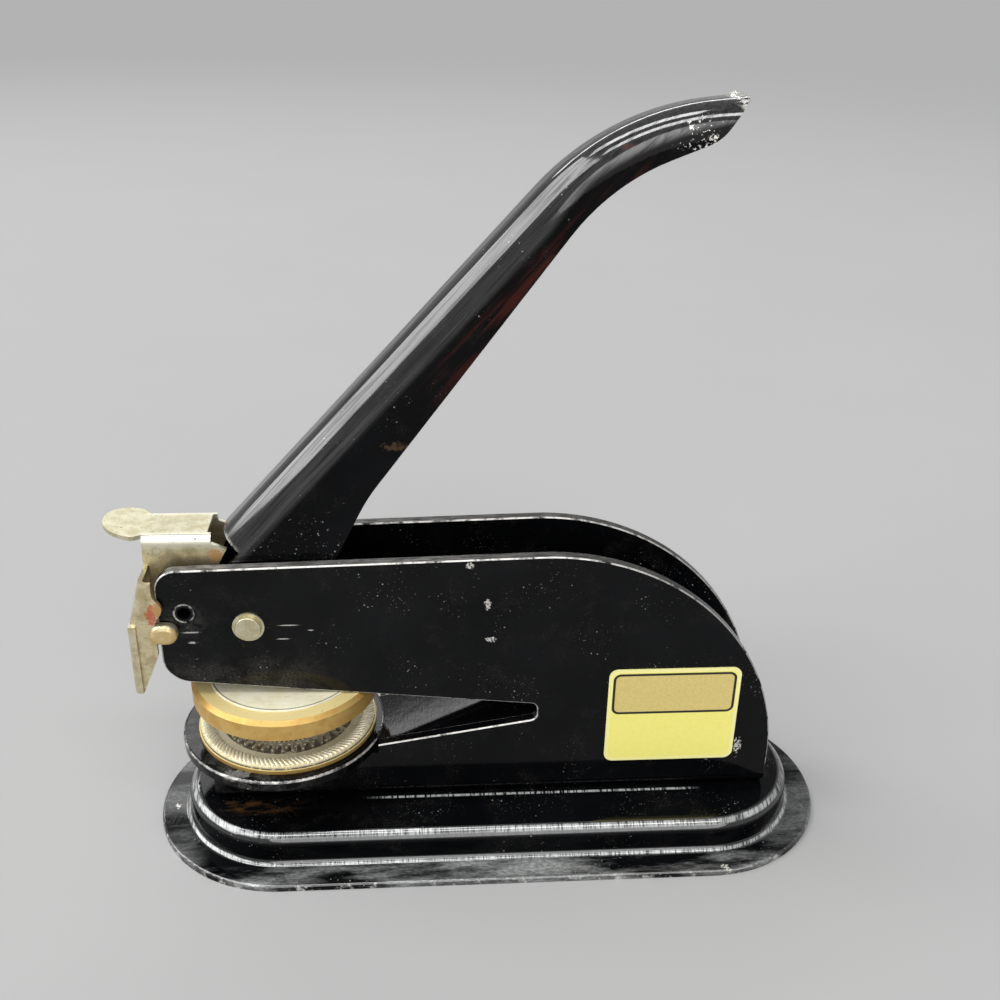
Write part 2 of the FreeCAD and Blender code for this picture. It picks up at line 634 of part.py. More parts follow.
def build_plunger_guide():
    """Block between the side plates: a bore for the plunger and a well for the spring."""
    body = new_body("plunger_guide_body")
    plan = new_sketch(body, "XY_Plane", offset="guide_bottom")
    half = "guide_length / 2"
    add_outline(plan, [(f"-{half}", f"-{INNER_HALF}"), (half, f"-{INNER_HALF}"),
                       (half, INNER_HALF), (f"-{half}", INNER_HALF)])
    pad(body, plan, "guide_top - guide_bottom")
    trim = new_sketch(body, "XY_Plane", offset="guide_top")
    add_circle(trim, ("0", "0"), "spring_well")
    pocket(body, trim, "guide_top - guide_bottom - boss_height")
    well = new_sketch(body, "XY_Plane", offset="guide_top")
    add_circle(well, ("0", "0"), "spring_well")
    add_circle(well, ("0", "0"), "boss_radius")
    pocket(body, well, "guide_top - guide_bottom - guide_floor")
    bores = new_sketch(body, "XY_Plane", offset="guide_top")
    add_circle(bores, ("0", "0"), "stem_radius + running_fit")
    add_circle(bores, ("pin_offset", "0"), "align_radius + running_fit")
    pocket(body, bores)
    finish(body, "plunger_guide")


def build_label():
    body = new_body("label_body")
    plate = new_sketch(body, "XZ_Plane", offset="frame_width / 2",
                       centre=("label_middle", "label_centre_height"))
    half, rise = "label_length / 2", "label_height / 2"
    add_outline(plate, [(f"-{half}", f"-{rise}", "label_radius"),
                        (half, f"-{rise}", "label_radius"),
                        (half, rise, "label_radius"),
                        (f"-{half}", rise, "label_radius")])
    pad(body, plate, "label_thickness")
    finish(body, "label")


# ---------------------------------------------------------------- lever and cam
def lever_sketch(body):
    """A sketch at the pivot whose first axis runs along the lever's back."""
    return new_sketch(body, "XZ_Plane", centre=PIVOT, turn="lever_angle")


def build_lever():
    """Formed channel: rounded back, two walls that flare towards the pivot, closed grip end."""
    tip = ("(lever_bend_distance + grip_length * cos(grip_turn * 1deg))",
           "(lever_back - grip_length * sin(grip_turn * 1deg))")
    lean = "tan(grip_end_turn * 1deg)"
    chin = (f"({tip[0]} - grip_end)", f"({tip[1]} - grip_end * {lean})")
    shoulder, above = "lever_back - lever_shoulder", "(lever_back + lever_width)"
    outer = lever_bar("lever_outer", "lever_back", "lever_bend_distance", "lever_bend_radius",
                      "lever_width / 2", "lever_crown")
    trim_outside(outer, [
        ("lever_back_start", above),
        (f"{tip[0]} + ({above} - {tip[1]}) / {lean}", above),
        (*chin, "grip_chin"),
        ("grip_waist_distance", "grip_waist_offset", "skirt_radius"),
        ("skirt_distance", "skirt_offset", "skirt_radius"),
        ("lever_foot_rear", "-lever_foot_depth", "2 * lever_sheet"),
        ("-lever_foot_front", "-lever_foot_depth", "lever_foot_radius"),
        ("-lever_foot_front", shoulder, "lever_foot_radius"),
        ("lever_back_start", shoulder),
    ])
    hollow = lever_bar("lever_hollow", "(lever_back - lever_sheet)",
                       "(lever_bend_distance - lever_sheet * tan(grip_turn / 2 * 1deg))",
                       "lever_bend_radius - lever_sheet", "(lever_width / 2 - lever_sheet)",
                       "lever_crown - lever_sheet")
    closed = lever_sketch(hollow)
    past = ("2 * lever_bend_distance", f"{tip[1]} + (2 * lever_bend_distance - {tip[0]}) * {lean}")
    inside = "lever_sheet / cos(grip_end_turn * 1deg)"
    add_outline(closed, [
        (f"{chin[0]} + grip_end / 3", f"{chin[1]} + grip_end / 3 * {lean} + {inside}"),
        (f"{chin[0]} + grip_end / 3", "-2 * lever_bend_distance"),
        (past[0], "-2 * lever_bend_distance"),
        (past[0], f"{past[1]} + {inside}"),
    ])
    pocket(hollow, closed)
    shell = boolean("Cut", "lever_shell", outer, hollow)
    holes = new_body("lever_holes")
    drill = lever_sketch(holes)
    add_circle(drill, ("0", "0"), f"{BUSH_RADIUS} + seat_fit")
    add_circle(drill, cam_lobe_place(), "cam_rivet_radius + seat_fit")
    pad(holes, drill, "2 * lever_width", symmetric=True)
    finish(boolean("Cut", "lever_cut", shell, holes), "lever")


def lever_bar(name, back, corner, bend, half, crown):
    """A bar under the lever's back, rounded on top and much deeper and longer than the lever."""
    body = new_body(name)
    side = lever_sketch(body)
    far = "lever_bend_distance"
    past = (f"({corner} + 2 * grip_length * cos(grip_turn * 1deg))",
            f"({back} - 2 * grip_length * sin(grip_turn * 1deg))")
    add_outline(side, [
        (f"-{far}", back),
        (corner, back, bend),
        past,
        (past[0], f"-{far}"),
        (f"-{far}", f"-{far}"),
    ])
    pad(body, side, f"2 * {half}", symmetric=True)
    doc.recompute()
    turn = math.radians(value("lever_angle"))
    pivot = Vector(value(PIVOT[0]), 0, value(PIVOT[1]))
    square = Vector(-math.sin(turn), 0, math.cos(turn))
    tip = body.Tip
    names = []
    for i, edge in enumerate(tip.Shape.Edges, 1):
        ends = [vertex.Point for vertex in edge.Vertexes]
        if all(near(abs(point.y), value(half)) and near((point - pivot).dot(square), value(back))
               for point in ends) and near(edge.BoundBox.YLength, 0):
            names.append(f"Edge{i}")
    feature = body.newObject("PartDesign::Fillet", "Crown")
    feature.Base = (tip, names)
    feature.setExpression("Radius", bound(crown))
    return body


def trim_outside(body, outline):
    """Cut away all that lies outside an outline in the lever's own sketch."""
    trim = lever_sketch(body)
    far = "3 * lever_bend_distance"
    add_outline(trim, [(f"-{far}", f"-{far}"), (far, f"-{far}"), (far, far), (f"-{far}", far)])
    add_outline(trim, outline)
    pocket(body, trim, "2 * lever_width", symmetric=True)


def cam_lobe_place():
    """Centre of the cam lobe in the lever's own sketch."""
    return ("cam_throw * cos((cam_angle - lever_angle) * 1deg)",
            "cam_throw * sin((cam_angle - lever_angle) * 1deg)")


def build_cam():
    """Cam between the lever walls: a hub on the bush and a round lobe that pushes the plunger."""
    body = new_body("cam_body")
    lean = f"(({CAM_LOBE} - cam_hub) / cam_throw)"
    rise = f"sqrt(1 - {lean} ^ 2)"
    flank = new_sketch(body, "XZ_Plane", centre=PIVOT, turn="cam_angle")
    add_outline(flank, [
        (f"-cam_hub * {lean}", f"-cam_hub * {rise}"),
        (f"cam_throw - {CAM_LOBE} * {lean}", f"-{CAM_LOBE} * {rise}"),
        (f"cam_throw - {CAM_LOBE} * {lean}", f"{CAM_LOBE} * {rise}"),
        (f"-cam_hub * {lean}", f"cam_hub * {rise}"),
    ])
    pad(body, flank, "cam_width", symmetric=True)
    for spot, radius in ((("0", "0"), "cam_hub"), (("cam_throw", "0"), CAM_LOBE)):
        sketch = new_sketch(body, "XZ_Plane", centre=PIVOT, turn="cam_angle")
        add_circle(sketch, spot, radius)
        pad(body, sketch, "cam_width", symmetric=True)
    bores = new_sketch(body, "XZ_Plane", centre=PIVOT, turn="cam_angle")
    add_circle(bores, ("0", "0"), f"{BUSH_RADIUS} + seat_fit")
    add_circle(bores, ("cam_throw", "0"), "cam_rivet_radius + seat_fit")
    pocket(body, bores)
    finish(body, "cam")


def build_cam_rivet():
    body = new_body("cam_rivet_body")
    sketch = new_sketch(body, "XZ_Plane", centre=PIVOT, turn="cam_angle")
    add_circle(sketch, ("cam_throw", "0"), "cam_rivet_radius")
    pad(body, sketch, "lever_width", symmetric=True)
    finish(body, "cam_rivet")


def build_pivot_bush():
    body = new_body("pivot_bush_body")
    sketch = new_sketch(body, "XZ_Plane")
    add_circle(sketch, PIVOT, BUSH_RADIUS)
    add_circle(sketch, PIVOT, "pin_radius + running_fit")
    pad(body, sketch, "lever_width", symmetric=True)
    finish(body, "pivot_bush")


# ---------------------------------------------------------------- die carriage
def build_plunger():
    """Headed stem that carries the die and slides in the guide."""
    body = new_body("plunger_body")
    under_head = "head_height - head_thickness"
    turned(body, [
        ("0", HOLDER_BOTTOM),
        ("stem_radius", HOLDER_BOTTOM),
        ("stem_radius", under_head),
        ("head_radius", under_head),
        ("head_radius", "head_height"),
        ("0", "head_height"),
    ])
    finish(body, "plunger")


def build_die_parts():
    """Holder disc, brass ring, engraved upper die and the pin that stops them turning."""
    holder = new_body("die_holder_body")
    turned(holder, [
        ("stem_radius + seat_fit", HOLDER_BOTTOM),
        ("holder_radius", HOLDER_BOTTOM),
        ("holder_radius", "die_top", "die_recess"),
        ("stem_radius + seat_fit", "die_top"),
    ])
    socket = new_sketch(holder, "XY_Plane", offset="die_top")
    add_circle(socket, ("pin_offset", "0"), "align_radius + seat_fit")
    pocket(holder, socket, "holder_height / 2")
    finish(holder, "die_holder")
    ring = new_body("die_ring_body")
    bore = "holder_radius + ring_clearance"
    turned(ring, [
        (f"{UPPER_DIE_RADIUS} + ring_clearance", "ring_bottom"),
        ("ring_radius", "ring_bottom"),
        ("ring_radius", "ring_top - ring_bevel"),
        ("ring_radius - ring_bevel", "ring_top"),
        (bore, "ring_top"),
        (bore, HOLDER_BOTTOM),
        (f"{UPPER_DIE_RADIUS} + ring_clearance", HOLDER_BOTTOM),
    ])
    finish(ring, "die_ring")
    die = new_body("upper_die_body")
    turned(die, [
        ("0", "ring_bottom + die_recess"),
        (UPPER_DIE_RADIUS, "ring_bottom + die_recess"),
        (UPPER_DIE_RADIUS, HOLDER_BOTTOM),
        ("0", HOLDER_BOTTOM),
    ])
    finish(die, "upper_die")
    pin = new_body("alignment_pin_body")
    sketch = new_sketch(pin, "XY_Plane", offset="die_top - holder_height / 2")
    add_circle(sketch, ("pin_offset", "0"), "align_radius")
    pad(pin, sketch, "align_top - die_top + holder_height / 2")
    finish(pin, "alignment_pin")


def build_return_spring():
    """Coil spring round the guide's boss, from the well's floor to the plunger's head."""
    floor = "guide_bottom + guide_floor + spring_wire / 2 + seat_fit"
    top = "head_height - head_thickness - spring_wire / 2 - seat_fit"
    helix = doc.addObject("Part::Helix", "spring_line")
    helix.setExpression("Radius", bound("spring_radius"))
    helix.setExpression("Height", bound(f"({top}) - ({floor})"))
    helix.setExpression("Pitch", bound(f"(({top}) - ({floor})) / spring_turns"))
    helix.setExpression("Placement.Base.z", bound(floor))
    wire = doc.addObject("Part::RegularPolygon", "spring_section")
    wire.Polygon = WIRE_SIDES
    wire.setExpression("Circumradius", bound("spring_wire / 2"))
    wire.Placement.Rotation = Rotation(Vector(1, 0, 0), 90)
    wire.setExpression("Placement.Base.x", bound("spring_radius"))
    wire.setExpression("Placement.Base.z", bound(floor))
    doc.recompute()
    coil = doc.addObject("Part::Sweep", "spring_coil")
    coil.Sections = [wire]
    coil.Spine = (helix, [f"Edge{i + 1}" for i in range(len(helix.Shape.Edges))])
    coil.Solid = True
    coil.Frenet = True
    finish(coil, "return_spring")


# ---------------------------------------------------------------- catch
def build_catch():
    """Nickel sheet catch: a channel with a thumb tab and slotted legs, and the apron in front."""
    channel = boolean("Cut", "catch_channel", catch_flanges(), catch_hollow())
    top = boolean("Common", "catch_top_plate", catch_strip(), catch_plan())
    slide = boolean("MultiFuse", "catch_slide_body", channel, top)
    finish(ear_holes(slide, "catch_slide_drilled"), "catch_slide")
    tongue = boolean("Common", "apron_tongue", apron_strip(), apron_front_view())
    wings = boolean("Cut", "apron_wings", wing_block(), wing_gap())
    plate = boolean("MultiFuse", "catch_plate_body", tongue, wings, apron_ears())
    finish(ear_holes(plate, "catch_plate_drilled"), "catch_plate")
    build_catch_rivets()


def ear_place():
    """Centre of the rivets through the flanges and the apron's ears."""
    return (f"-{CATCH_STRIP} + catch_sheet + ear_length / 2", EAR_MIDDLE)


def ear_holes(part, name):
    drill = new_body(f"{name}_tool")
    sketch = new_sketch(drill, "XZ_Plane")
    add_circle(sketch, ear_place(), "ear_rivet_radius + seat_fit")
    pad(drill, sketch, "2 * catch_width", symmetric=True)
    return boolean("Cut", name, part, drill)


def build_catch_rivets():
    """One short rivet through each flange of the catch, flush on the outside."""
    rivets = []
    length = "2 * catch_sheet + seat_fit"
    for side, start in (("near", f"catch_width / 2 - ({length})"), ("far", "-catch_width / 2")):
        body = new_body(f"catch_rivet_{side}")
        cross_disc(body, ear_place(), "ear_rivet_radius", start, length)
        rivets.append(body)
    group = doc.addObject("Part::Compound", "catch_rivets_group")
    group.Links = rivets
    finish(group, "catch_rivets")


def apron_ears():
    """Two ears bent back from the apron's upper end, inside the flanges of the catch."""
    body = new_body("apron_ears")
    plan = new_sketch(body, "XZ_Plane")
    front, rise = f"-{CATCH_STRIP}", "ear_height / 2"
    add_outline(plan, [
        (front, f"{EAR_MIDDLE} - {rise}"),
        (f"{front} + catch_sheet + ear_length", f"{EAR_MIDDLE} - {rise}", "ear_round"),
        (f"{front} + catch_sheet + ear_length", f"{EAR_MIDDLE} + {rise}", "ear_round"),
        (front, f"{EAR_MIDDLE} + {rise}"),
    ])
    pad(body, plan, f"2 * {EAR_HALF}", symmetric=True)
    gap = new_sketch(body, "XY_Plane")
    half, far = f"({EAR_HALF} - catch_sheet)", "catch_width"
    add_outline(gap, [
        (f"{front} + catch_sheet", f"-{half}"),
        (far, f"-{half}"),
        (far, half),
        (f"{front} + catch_sheet", half),
    ])
    pocket(body, gap, "2 * catch_top", symmetric=True)
    return body


def catch_flanges():
    body = new_body("catch_flanges")
    side = new_sketch(body, "XZ_Plane")
    add_outline(side, [
        ("-catch_front", "catch_top"),
        ("-catch_rear", "catch_top"),
        ("-catch_rear", "catch_top - catch_edge"),
        ("-catch_rear + catch_tail", "catch_top - catch_tail_drop"),
        ("-catch_rear", "catch_top - catch_flange_depth"),
        ("-catch_leg_rear", "catch_top - catch_flange_depth"),
        ("-catch_leg_rear", "catch_leg_bottom"),
        ("-catch_leg_front", "catch_leg_bottom"),
        ("-catch_leg_front", "apron_top - catch_sheet"),
        ("-catch_front", "apron_top"),
    ])
    pad(body, side, "catch_width", symmetric=True)
    round_edges(body, "catch_edge", lambda box: near(box.ZMin, value("catch_top"))
                and near(box.ZLength, 0) and near(box.YLength, 0))
    notch = new_sketch(body, "XY_Plane")
    add_outline(notch, [
        ("-catch_rear - catch_cutout", f"-{NOTCH_HALF}", "catch_cutout / 2"),
        ("-catch_rear + catch_tail", f"-{NOTCH_HALF}"),
        ("-catch_rear + catch_tail", NOTCH_HALF),
        ("-catch_rear - catch_cutout", NOTCH_HALF, "catch_cutout / 2"),
    ])
    pocket(body, notch)
    slot = new_sketch(body, "XZ_Plane")
    low, high = "-rivet_front - catch_travel", "-rivet_front"
    gap = "rivet_radius + slot_clearance"
    add_outline(slot, [
        (f"{low} - ({gap})", f"rivet_height - ({gap})", "rivet_radius"),
        (f"{high} + {gap}", f"rivet_height - ({gap})", "rivet_radius"),
        (f"{high} + {gap}", f"rivet_height + {gap}", "rivet_radius"),
        (f"{low} - ({gap})", f"rivet_height + {gap}", "rivet_radius"),
    ])
    pocket(body, slot)
    return body


def catch_hollow():
    body = new_body("catch_hollow")
    end = new_sketch(body, "YZ_Plane")
    half = "(catch_width / 2 - catch_sheet)"
    add_outline(end, [
        (f"-{half}", "0"),
        (half, "0"),
        (half, "catch_top - catch_sheet", "catch_edge - catch_sheet"),
        (f"-{half}", "catch_top - catch_sheet", "catch_edge - catch_sheet"),
    ])
    pad(body, end, "2 * tab_reach", symmetric=True)
    return body


def catch_strip():
    """The top plate and the thumb tab, seen from the side."""
    body = new_body("catch_strip")
    side = new_sketch(body, "XZ_Plane")
    under = "catch_top - catch_sheet"
    add_outline(side, [
        ("-catch_rear", under),
        ("-catch_rear", "catch_top"),
        ("-catch_front", "catch_top", "tab_bend"),
        ("-tab_reach", "catch_top + tab_rise"),
        ("-tab_reach", f"{under} + tab_rise"),
        ("-catch_front", under, "tab_bend"),
    ])
    pad(body, side, "2 * tab_width", symmetric=True)
    return body


def catch_plan():
    """The outline of the top plate and thumb tab from above, with the rear cut-out."""
    body = new_body("catch_plan")
    plan = new_sketch(body, "XY_Plane")
    half, wide = "catch_width / 2 - catch_edge / 2", "tab_width / 2"
    neck, tip = "-catch_front - tab_neck", "tab_width / 2 - tab_tip"
    add_outline(plan, [
        ("-catch_rear", half),
        ("-catch_front", half),
        (neck, wide, "tab_neck_radius"),
        ("-tab_reach", wide, tip),
        ("-tab_reach", f"-{wide}", tip),
        (neck, f"-{wide}", "tab_neck_radius"),
        ("-catch_front", f"-({half})"),
        ("-catch_rear", f"-({half})"),
        ("-catch_rear", f"-{NOTCH_HALF}"),
        ("-catch_rear - catch_cutout", f"-{NOTCH_HALF}", "catch_cutout / 2"),
        ("-catch_rear - catch_cutout", NOTCH_HALF, "catch_cutout / 2"),
        ("-catch_rear", NOTCH_HALF),
    ])
    pad(body, plan, "catch_top * 2")
    return body


def apron_strip():
    """The apron's sheet seen from the side: upright below, leaning back above."""
    body = new_body("apron_strip")
    side = new_sketch(body, "XZ_Plane")
    top = "catch_top - catch_sheet - seat_fit"
    add_outline(side, [
        ("-apron_front", "apron_bottom"),
        ("-apron_front + catch_sheet", "apron_bottom"),
        ("-apron_front + catch_sheet", "apron_shoulder", "apron_shoulder_radius - catch_sheet"),
        (f"-{CATCH_STRIP} + catch_sheet", "apron_top", "apron_bend"),
        (f"-{CATCH_STRIP} + catch_sheet", top),
        (f"-{CATCH_STRIP}", top),
        (f"-{CATCH_STRIP}", "apron_top", "apron_bend + catch_sheet"),
        ("-apron_front", "apron_shoulder", "apron_shoulder_radius"),
    ])
    pad(body, side, "2 * frame_width", symmetric=True)
    return body


def apron_front_view():
    """The tongue of the apron that passes up between the flanges, seen from the front."""
    body = new_body("apron_front_view")
    view = new_sketch(body, "YZ_Plane")
    low, top, corner = "apron_shoulder", "catch_top - catch_sheet - seat_fit", "catch_edge"
    add_outline(view, [
        (f"-{EAR_HALF}", low),
        (EAR_HALF, low),
        (EAR_HALF, top, corner),
        (f"-{EAR_HALF}", top, corner),
    ])
    pad(body, view, "4 * tab_reach", symmetric=True)
    return body


def apron_lean(height):
    """How far back the apron's front face lies at a height above its shoulder."""
    return (f"(apron_front - (apron_front - {CATCH_STRIP}) * (({height}) - apron_shoulder)"
            " / (apron_top - apron_shoulder))")


def wing_block():
    """The apron below the flanges with its hemmed wings and rounded lugs, still as one block."""
    body = new_body("wing_block")
    side = new_sketch(body, "XZ_Plane")
    under = "lug_height - lug_radius"
    add_outline(side, [
        ("-apron_front", "apron_bottom"),
        ("-apron_front + apron_toe", "apron_bottom"),
        ("-wing_rear", f"{under} - wing_slope", "apron_toe"),
        ("-wing_rear", "wing_bulge_height - wing_bulge_half", "wing_bulge"),
        ("-wing_rear + wing_bulge", "wing_bulge_height", "wing_bulge"),
        ("-wing_rear", "wing_bulge_height + wing_bulge_half", "wing_bulge"),
        ("-wing_rear", "max(apron_step; wing_bulge_height + wing_bulge_half + wing_bulge_margin)"),
        (f"-{apron_lean('apron_step')}", "apron_step"),
        ("-apron_front", "apron_shoulder", "apron_shoulder_radius"),
    ])
    pad(body, side, f"2 * {WING_HALF}", symmetric=True)
    front = -value(apron_lean("apron_step"))
    round_edges(body, "apron_bend",
                lambda box: near(box.YLength, 0) and near(abs(box.YMin), value(WING_HALF))
                and box.XMax < front + 0.1 and box.ZLength > box.XLength)
    hem = new_sketch(body, "XZ_Plane")
    add_outline(hem, [
        ("-apron_front", "apron_bottom", "hem_round"),
        ("-apron_front + hem_width", "apron_bottom"),
        ("-apron_front + hem_width", "apron_shoulder"),
        ("-apron_front", "apron_shoulder"),
    ])
    pad(body, hem, f"2 * ({WING_HALF} + hem_proud)", symmetric=True)
    lug = new_sketch(body, "XZ_Plane")
    start, tight = "-lug_reach - lug_length", "lug_radius - seat_fit"
    add_outline(lug, [
        (start, under, tight),
        ("-lug_reach", under, tight),
        ("-lug_reach", "lug_height + lug_radius", tight),
        (start, "lug_height + lug_radius", tight),
    ])
    pad(body, lug, f"2 * ({WING_HALF} + lug_proud)", symmetric=True)
    round_edges(body, "lug_proud - seat_fit",
                lambda box: near(box.YLength, 0)
                and near(abs(box.YMin), value(f"{WING_HALF} + lug_proud")))
    return body


def wing_gap():
    """The room behind the apron and between its wings."""
    body = new_body("wing_gap")
    side = new_sketch(body, "XZ_Plane")
    inner = "catch_sheet"
    add_outline(side, [
        (f"-apron_front + {inner}", "0"),
        ("0", "0"),
        ("0", "2 * catch_top"),
        (f"-{apron_lean('2 * catch_top')} + {inner}", "2 * catch_top"),
        (f"-apron_front + {inner}", "apron_shoulder", f"apron_shoulder_radius - {inner}"),
    ])
    half = "(frame_width / 2 + wing_clearance)"
    pad(body, side, f"2 * {half}", symmetric=True)
    front = -value(apron_lean("2 * catch_top"))
    round_edges(body, "apron_bend - catch_sheet",
                lambda box: near(box.YLength, 0) and near(abs(box.YMin), value(half))
                and box.XMax < min(front + 1, -1) and box.ZLength > box.XLength)
    return body


# ---------------------------------------------------------------- checks and files
def check_document():
    doc.recompute()
    for item in doc.Objects:
        if "Invalid" in item.State or "Error" in item.State:
            raise RuntimeError(f"{item.Name} ({item.Label}) failed: {item.State}")
    for item in subparts:
        if item.Shape.isNull() or not item.Shape.isValid() or not item.Shape.Solids:
            raise RuntimeError(f"{item.Label} has no valid solid")


def write_files():
    os.makedirs("parts", exist_ok=True)
    for item in subparts:
        item.Shape.exportStep(f"parts/{item.Label}.step")
        box = item.Shape.BoundBox
        print(f"{item.Label:16s} solids {len(item.Shape.Solids)} volume {item.Shape.Volume:9.1f}"
              f"  x {box.XMin:7.2f} {box.XMax:7.2f}  y {box.YMin:6.2f} {box.YMax:6.2f}"
              f"  z {box.ZMin:6.2f} {box.ZMax:6.2f}")


write_dimensions()
build_base()
build_frame()
build_foot_rivets()
build_anvil_table()
build_counter_parts()
build_pivot_pin()
build_guide_rivet()
build_plunger_guide()
build_label()
build_lever()
build_cam()
build_cam_rivet()
build_pivot_bush()
build_plunger()
build_die_parts()
build_return_spring()
build_catch()
check_document()
write_files()
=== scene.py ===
"""Looks of a desk seal embosser: enamel, nickel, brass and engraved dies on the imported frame."""

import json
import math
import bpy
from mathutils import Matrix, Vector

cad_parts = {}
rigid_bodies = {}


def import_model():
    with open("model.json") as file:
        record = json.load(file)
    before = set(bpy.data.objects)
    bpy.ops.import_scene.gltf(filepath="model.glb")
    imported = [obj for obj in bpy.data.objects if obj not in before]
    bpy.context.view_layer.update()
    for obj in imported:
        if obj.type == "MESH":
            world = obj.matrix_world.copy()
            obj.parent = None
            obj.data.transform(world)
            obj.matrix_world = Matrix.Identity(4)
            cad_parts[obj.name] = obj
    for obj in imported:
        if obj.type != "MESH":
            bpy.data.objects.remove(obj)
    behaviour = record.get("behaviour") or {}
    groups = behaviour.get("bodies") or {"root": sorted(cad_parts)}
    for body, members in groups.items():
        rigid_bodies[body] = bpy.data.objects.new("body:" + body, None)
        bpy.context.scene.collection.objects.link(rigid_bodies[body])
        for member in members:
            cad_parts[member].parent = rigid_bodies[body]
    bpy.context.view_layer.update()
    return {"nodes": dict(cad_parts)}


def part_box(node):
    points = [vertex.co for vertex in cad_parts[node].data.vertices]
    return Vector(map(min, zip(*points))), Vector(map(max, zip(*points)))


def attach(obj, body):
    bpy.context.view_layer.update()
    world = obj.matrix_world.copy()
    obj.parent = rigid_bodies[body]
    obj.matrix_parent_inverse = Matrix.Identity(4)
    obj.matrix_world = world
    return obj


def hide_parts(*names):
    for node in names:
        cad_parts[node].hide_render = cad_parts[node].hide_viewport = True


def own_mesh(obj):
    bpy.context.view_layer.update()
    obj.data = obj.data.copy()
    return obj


bl_info = {
    "name": "Seal Embosser",
    "version": (1, 0, 0),
    "blender": (4, 5, 0),
    "location": "View3D > Sidebar > Embosser",
    "description": "Dresses a desk seal embosser and sets up its stage",
    "category": "Object",
}

import bmesh
import bpy
from bpy.props import FloatProperty, FloatVectorProperty, IntProperty, PointerProperty
from mathutils import Matrix, Vector

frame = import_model()

MM = 0.001             # a millimetre in metres
PER_METRE = 1000.0     # millimetres in a metre

# the lever at rest, in millimetres
LEVER_PIVOT = (-49.6, 54.4)            # x and z
LEVER_LEAN = math.radians(47.8)        # slope of its back
LEVER_TURN = (0, LEVER_LEAN, 0)
GRIP_BEND = 103.9                      # how far from the pivot the grip starts to droop
GRIP_DROOP = 0.0117                    # its droop over the square of the way past the bend
BACK_HEIGHT = 16.0                     # how far the back lies over the pivot
ALONG_LEVER = (0.03, 1, 1)             # draws a pattern out along the back

NEAR_PLATE = -10.5                     # y of the near side plate's face, in millimetres

# stepped faces of the dies from the rim inwards: inset and rise in millimetres
COUNTER_STEPS = ((0.2, 0.15), (2.6, 0), (0.15, -0.25), (1.6, 0), (0.15, -0.35), (4.9, 0), (0.15, 0.35))
UPPER_STEPS = ((2.2, 0), (0.1, -0.35), (1.0, 0), (0.1, 0.35), (1.4, 0), (0.1, -0.45), (3.4, 0), (0.1, 0.45))
COUNTER_RELIEF = 0.6 * MM              # how far the counter die's box rises over its face
GROUND_DEPTHS = (0.42, 0.20)           # where the counter die's face darkens, below its top, in millimetres
# rings of relief, from a die's rim inwards
ROPE_INSET, BARS_INSET, BEADS_INSET = 1.5 * MM, 6.7 * MM, 9.0 * MM
# the bars by turns: length, width and how far inside the ring, in millimetres
BARS = ((3.0, 0.62, 0.0), (1.7, 0.62, 0.6), (0.8, 0.8, 1.1))

SPRING_TURNS = 3
SPRING_WIRE = 0.32 * MM                # radius of its wire

FILL_SUN = ((0.10, -0.85, 0.36), 50)   # the direction it shines from and its width in degrees
# lamps: place and size in metres, and share of the softboxes' radiance
SOFTBOXES = {
    "left_softbox": ((-4.5, -0.4, 3.4), (6.2, 4.2), 0.52),
    "overhead_softbox": ((-1.2, 0.4, 4.8), (0.9, 3.2), 1.0),
    "front_softbox": ((-0.2, -1.8, 4.7), (4.5, 0.8), 1.0),
    "back_softbox": ((-0.6, 4.2, 3.2), (5.0, 0.5), 0.8),
}
LAMP_AIM = (-0.01, 0, 0.06)
FLOOR_SIZE = 30.0
FLOOR_FADE = (600.0, 2200.0)           # where the floor turns into the backdrop, in millimetres

CAMERA_TURN = (4.61, 25.7, 1.3)        # yaw, pitch and roll in degrees
CAMERA_PLACE = (-0.0145, -0.2154, 0.1816)
SENSOR = 36.0                          # width in millimetres
FOCAL_RATIO = 1.1433                   # focal length over the sensor's width

# colours of dirt and wear, two of which also paint a reflection and a highlight on the base
DUST = (0.42, 0.42, 0.39)
FILM = (0.12, 0.105, 0.085)
RUST = (0.075, 0.036, 0.014)
# HAZE_AND_REFLECTION is a grey haze on the flange that is also a painted reflection
HAZE_AND_REFLECTION = (0.40, 0.41, 0.405)
# RUBBED_AND_HIGHLIGHT is wear on the base's bends that is also a painted highlight
RUBBED_AND_HIGHLIGHT = (0.58, 0.60, 0.59)
RED, AMBER, BRONZE = (0.46, 0.05, 0.02), (0.46, 0.22, 0.06), (0.56, 0.38, 0.13)
BLACK = (0, 0, 0)


# ---------------------------------------------------------------- sizes and colours to change
class EnamelSettings(bpy.types.PropertyGroup):
    """The black enamel and its wear."""

    colour: FloatVectorProperty(
        name="Enamel", description="Colour of the enamel", subtype="COLOR",
        default=(0.0016, 0.0018, 0.0022), min=0, max=1)
    shine: FloatProperty(
        name="Shine", description="Strength of the enamel's reflections", default=0.11, min=0, max=1)
    gloss: FloatProperty(
        name="Roughness", description="Roughness of sound enamel", default=0.07, min=0, max=1)
    dust: FloatProperty(
        name="Dust", description="Strength of the specks", default=0.7, min=0, max=1)


class MetalSettings(bpy.types.PropertyGroup):
    """Colours of the bare and plated metals."""

    nickel: FloatVectorProperty(
        name="Nickel", description="Warm worn nickel", subtype="COLOR",
        default=(0.67, 0.64, 0.475), min=0, max=1)
    brass: FloatVectorProperty(
        name="Brass", description="Polished brass of the die ring", subtype="COLOR",
        default=(0.74, 0.55, 0.21), min=0, max=1)
    steel: FloatVectorProperty(
        name="Steel", description="Bare steel of the dies", subtype="COLOR",
        default=(0.70, 0.68, 0.63), min=0, max=1)


